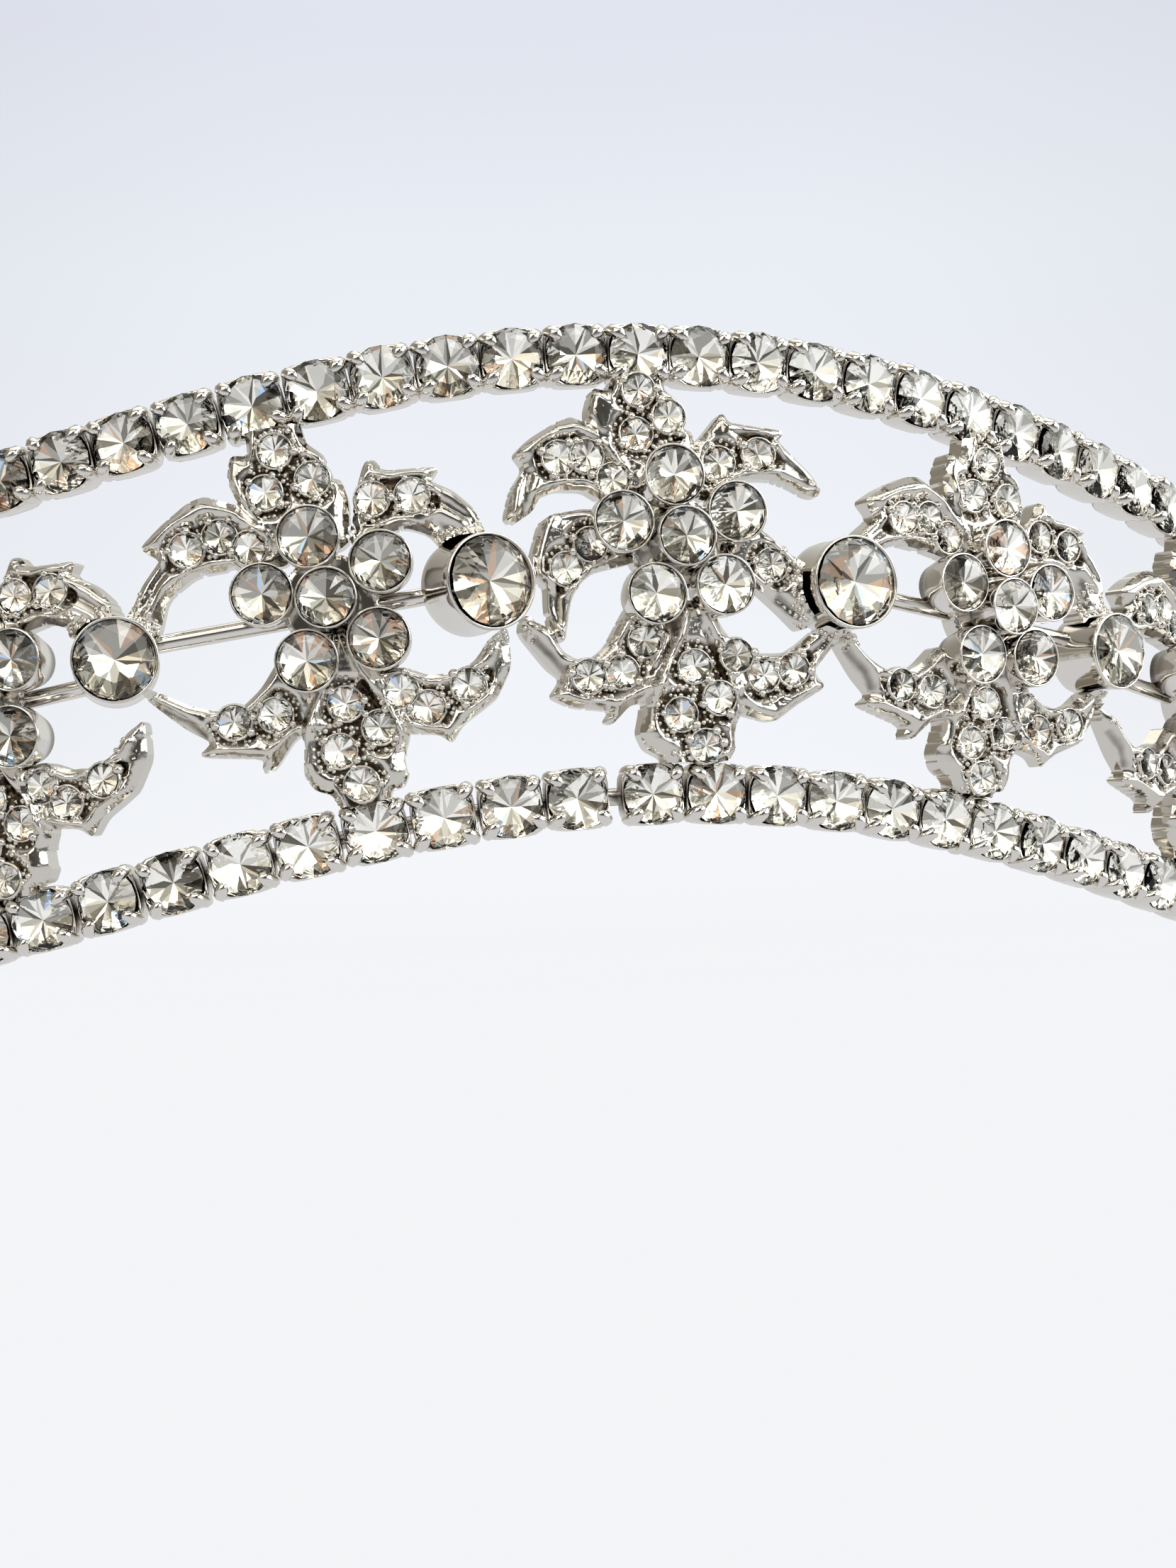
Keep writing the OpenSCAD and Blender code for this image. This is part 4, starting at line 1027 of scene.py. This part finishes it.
# floor of one plain pale tone, as bright as the backdrop above it. In the metal it is dimmer, and dimmest
# well in front of the tiara, as a table in shade
def makeFloor():
    material, tree = newTree("paleFloor")
    path = addNode(tree, "ShaderNodeLightPath")
    coords = addNode(tree, "ShaderNodeTexCoord")
    split = addNode(tree, "ShaderNodeSeparateXYZ", {"Vector": coords.outputs["Object"]})
    shade = rangeNode(tree, split.outputs["Y"], studio["paperReach"], studio["paper"], soft=True)
    glow = rangeNode(tree, path.outputs["Is Camera Ray"], (0, 1), (shade, 1.0))
    glow = mixNode(tree, "FLOAT", path.outputs["Is Transmission Ray"], glow, studio["stonePaper"])
    addPrincipled(tree, {"Base Color": (0.004, 0.004, 0.004, 1), "Emission Color": (*studio["floorTone"], 1),
                         "Emission Strength": glow, "Roughness": 1.0, "Specular IOR Level": 0.0})
    sides, radius = studio["floorSides"], studio["floorRadius"]
    mesh = bpy.data.meshes.new("floor")
    a = np.arange(sides) * 2 * np.pi / sides
    mesh.from_pydata([(radius * math.cos(t), radius * math.sin(t), 0) for t in a], [], [list(range(sides))])
    mesh.materials.append(material)
    floor = bpy.data.objects.new("floor", mesh)
    bpy.context.collection.objects.link(floor)


# sum of the round soft lights: each is bright where the direction lies within a cone about its own
def coneLights(tree, direction):
    total = 0.0
    for way, outer, inner, strength in studio["cones"]:
        length = math.hypot(*way)
        cone = addNode(tree, "ShaderNodeVectorMath", [(0, direction), (1, [c / length for c in way])],
                       operation="DOT_PRODUCT")
        glow = rangeNode(tree, cone.outputs["Value"], (outer, inner), (0.0, strength), soft=True)
        total = mathNode(tree, "ADD", total, glow)
    return total


# backdrop: a ramp over the height, a little darker to both sides above the horizon
def backdropColour(tree, direction, height):
    aside = addNode(tree, "ShaderNodeVectorMath", [(0, direction), (1, studio["sideways"])],
                    operation="DOT_PRODUCT")
    amount = mathNode(tree, "ABSOLUTE", aside.outputs["Value"])
    shade = rangeNode(tree, amount, studio["sideReach"], (0.0, studio["sideShade"]), soft=True)
    above = rangeNode(tree, height, studio["aboveReach"], soft=True)
    rest = mathNode(tree, "SUBTRACT", 1.0, mathNode(tree, "MULTIPLY", shade, above))
    low, high = studio["tones"][0][0], studio["tones"][-1][0]
    tones = [((at - low) / (high - low), colour) for at, colour in studio["tones"]]
    ramp = rampNode(tree, rangeNode(tree, height, (low, high)), tones)
    paper = addNode(tree, "ShaderNodeVectorMath", {0: ramp, "Scale": rest}, operation="SCALE")
    return paper.outputs[0]


# the camera sees the pale backdrop. Metal sees the soft lights in a room that is dim towards the front, and
# light that comes back out of a stone an evenly lit room with the same lights. Both rooms are dimmer and
# warmer to the left, brighter and whiter to the right
def makeWorld():
    world = bpy.data.worlds.new("studio")
    bpy.context.scene.world = world
    world.use_nodes = True
    tree = world.node_tree
    tree.nodes.clear()
    direction = addNode(tree, "ShaderNodeTexCoord").outputs["Generated"]
    split = addNode(tree, "ShaderNodeSeparateXYZ", {"Vector": direction})
    path = addNode(tree, "ShaderNodeLightPath")
    backdrop = backdropColour(tree, direction, split.outputs["Z"])
    lights = coneLights(tree, direction)
    depth = rangeNode(tree, split.outputs["Y"], studio["roomReach"], studio["room"], soft=True)
    metalRoom = mathNode(tree, "ADD", lights, depth)
    stoneRoom = mathNode(tree, "MULTIPLY_ADD", lights, studio["stoneSparkle"], studio["stoneRoom"])
    room = mixNode(tree, "FLOAT", path.outputs["Is Transmission Ray"], metalRoom, stoneRoom)
    side = rangeNode(tree, split.outputs["X"], studio["gainReach"], soft=True)
    tone = mixNode(tree, "RGBA", side, (*studio["leftTone"], 1), (*studio["rightTone"], 1))
    strength = mathNode(tree, "MULTIPLY", room, rangeNode(tree, side, (0, 1), studio["gain"]))
    roomGlow = addNode(tree, "ShaderNodeBackground", {"Color": tone, "Strength": strength})
    paleGlow = addNode(tree, "ShaderNodeBackground", {"Color": backdrop})
    mix = addNode(tree, "ShaderNodeMixShader", {
        "Fac": path.outputs["Is Camera Ray"], 1: roomGlow.outputs[0], 2: paleGlow.outputs[0]})
    addNode(tree, "ShaderNodeOutputWorld", {"Surface": mix.outputs["Shader"]})


def addLamp(name, place, width, height, power):
    data = bpy.data.lights.new(name, "AREA")
    data.shape = "RECTANGLE"
    data.size, data.size_y, data.energy = width, height, power
    lamp = bpy.data.objects.new(name, data)
    bpy.context.collection.objects.link(lamp)
    lamp.location = place
    lamp.rotation_mode = "QUATERNION"
    lamp.rotation_quaternion = (Vector(studio["lampAim"]) - Vector(place)).to_track_quat("-Z", "Y")


makeFloor()
makeWorld()
for lampRow in studio["lamps"]:
    addLamp(*lampRow)

view = {"sensor": 36, "focal": 3059 / 2212 * 36, "clip": (0.005, 50),
        "place": (-0.037106, -0.154004, 0.002128), "right": (0.96372, -0.26361, -0.04181),
        "down": (-0.02041, 0.0834, -0.99631), "ahead": (0.26613, 0.96102, 0.075)}


def makeCamera():
    data = bpy.data.cameras.new("camera")
    data.sensor_width = view["sensor"]
    data.lens = view["focal"]
    data.clip_start, data.clip_end = view["clip"]
    camera = bpy.data.objects.new("camera", data)
    bpy.context.collection.objects.link(camera)
    right, down, ahead = (np.array(view[k]) for k in ("right", "down", "ahead"))
    matrix = np.eye(4)
    matrix[:3] = np.stack([right, -down, -ahead, view["place"]], -1)
    camera.matrix_world = Matrix(matrix.tolist())
    bpy.context.scene.camera = camera


makeCamera()
bpy.context.scene.view_settings.view_transform = "Standard"
print("floor, light and camera set")
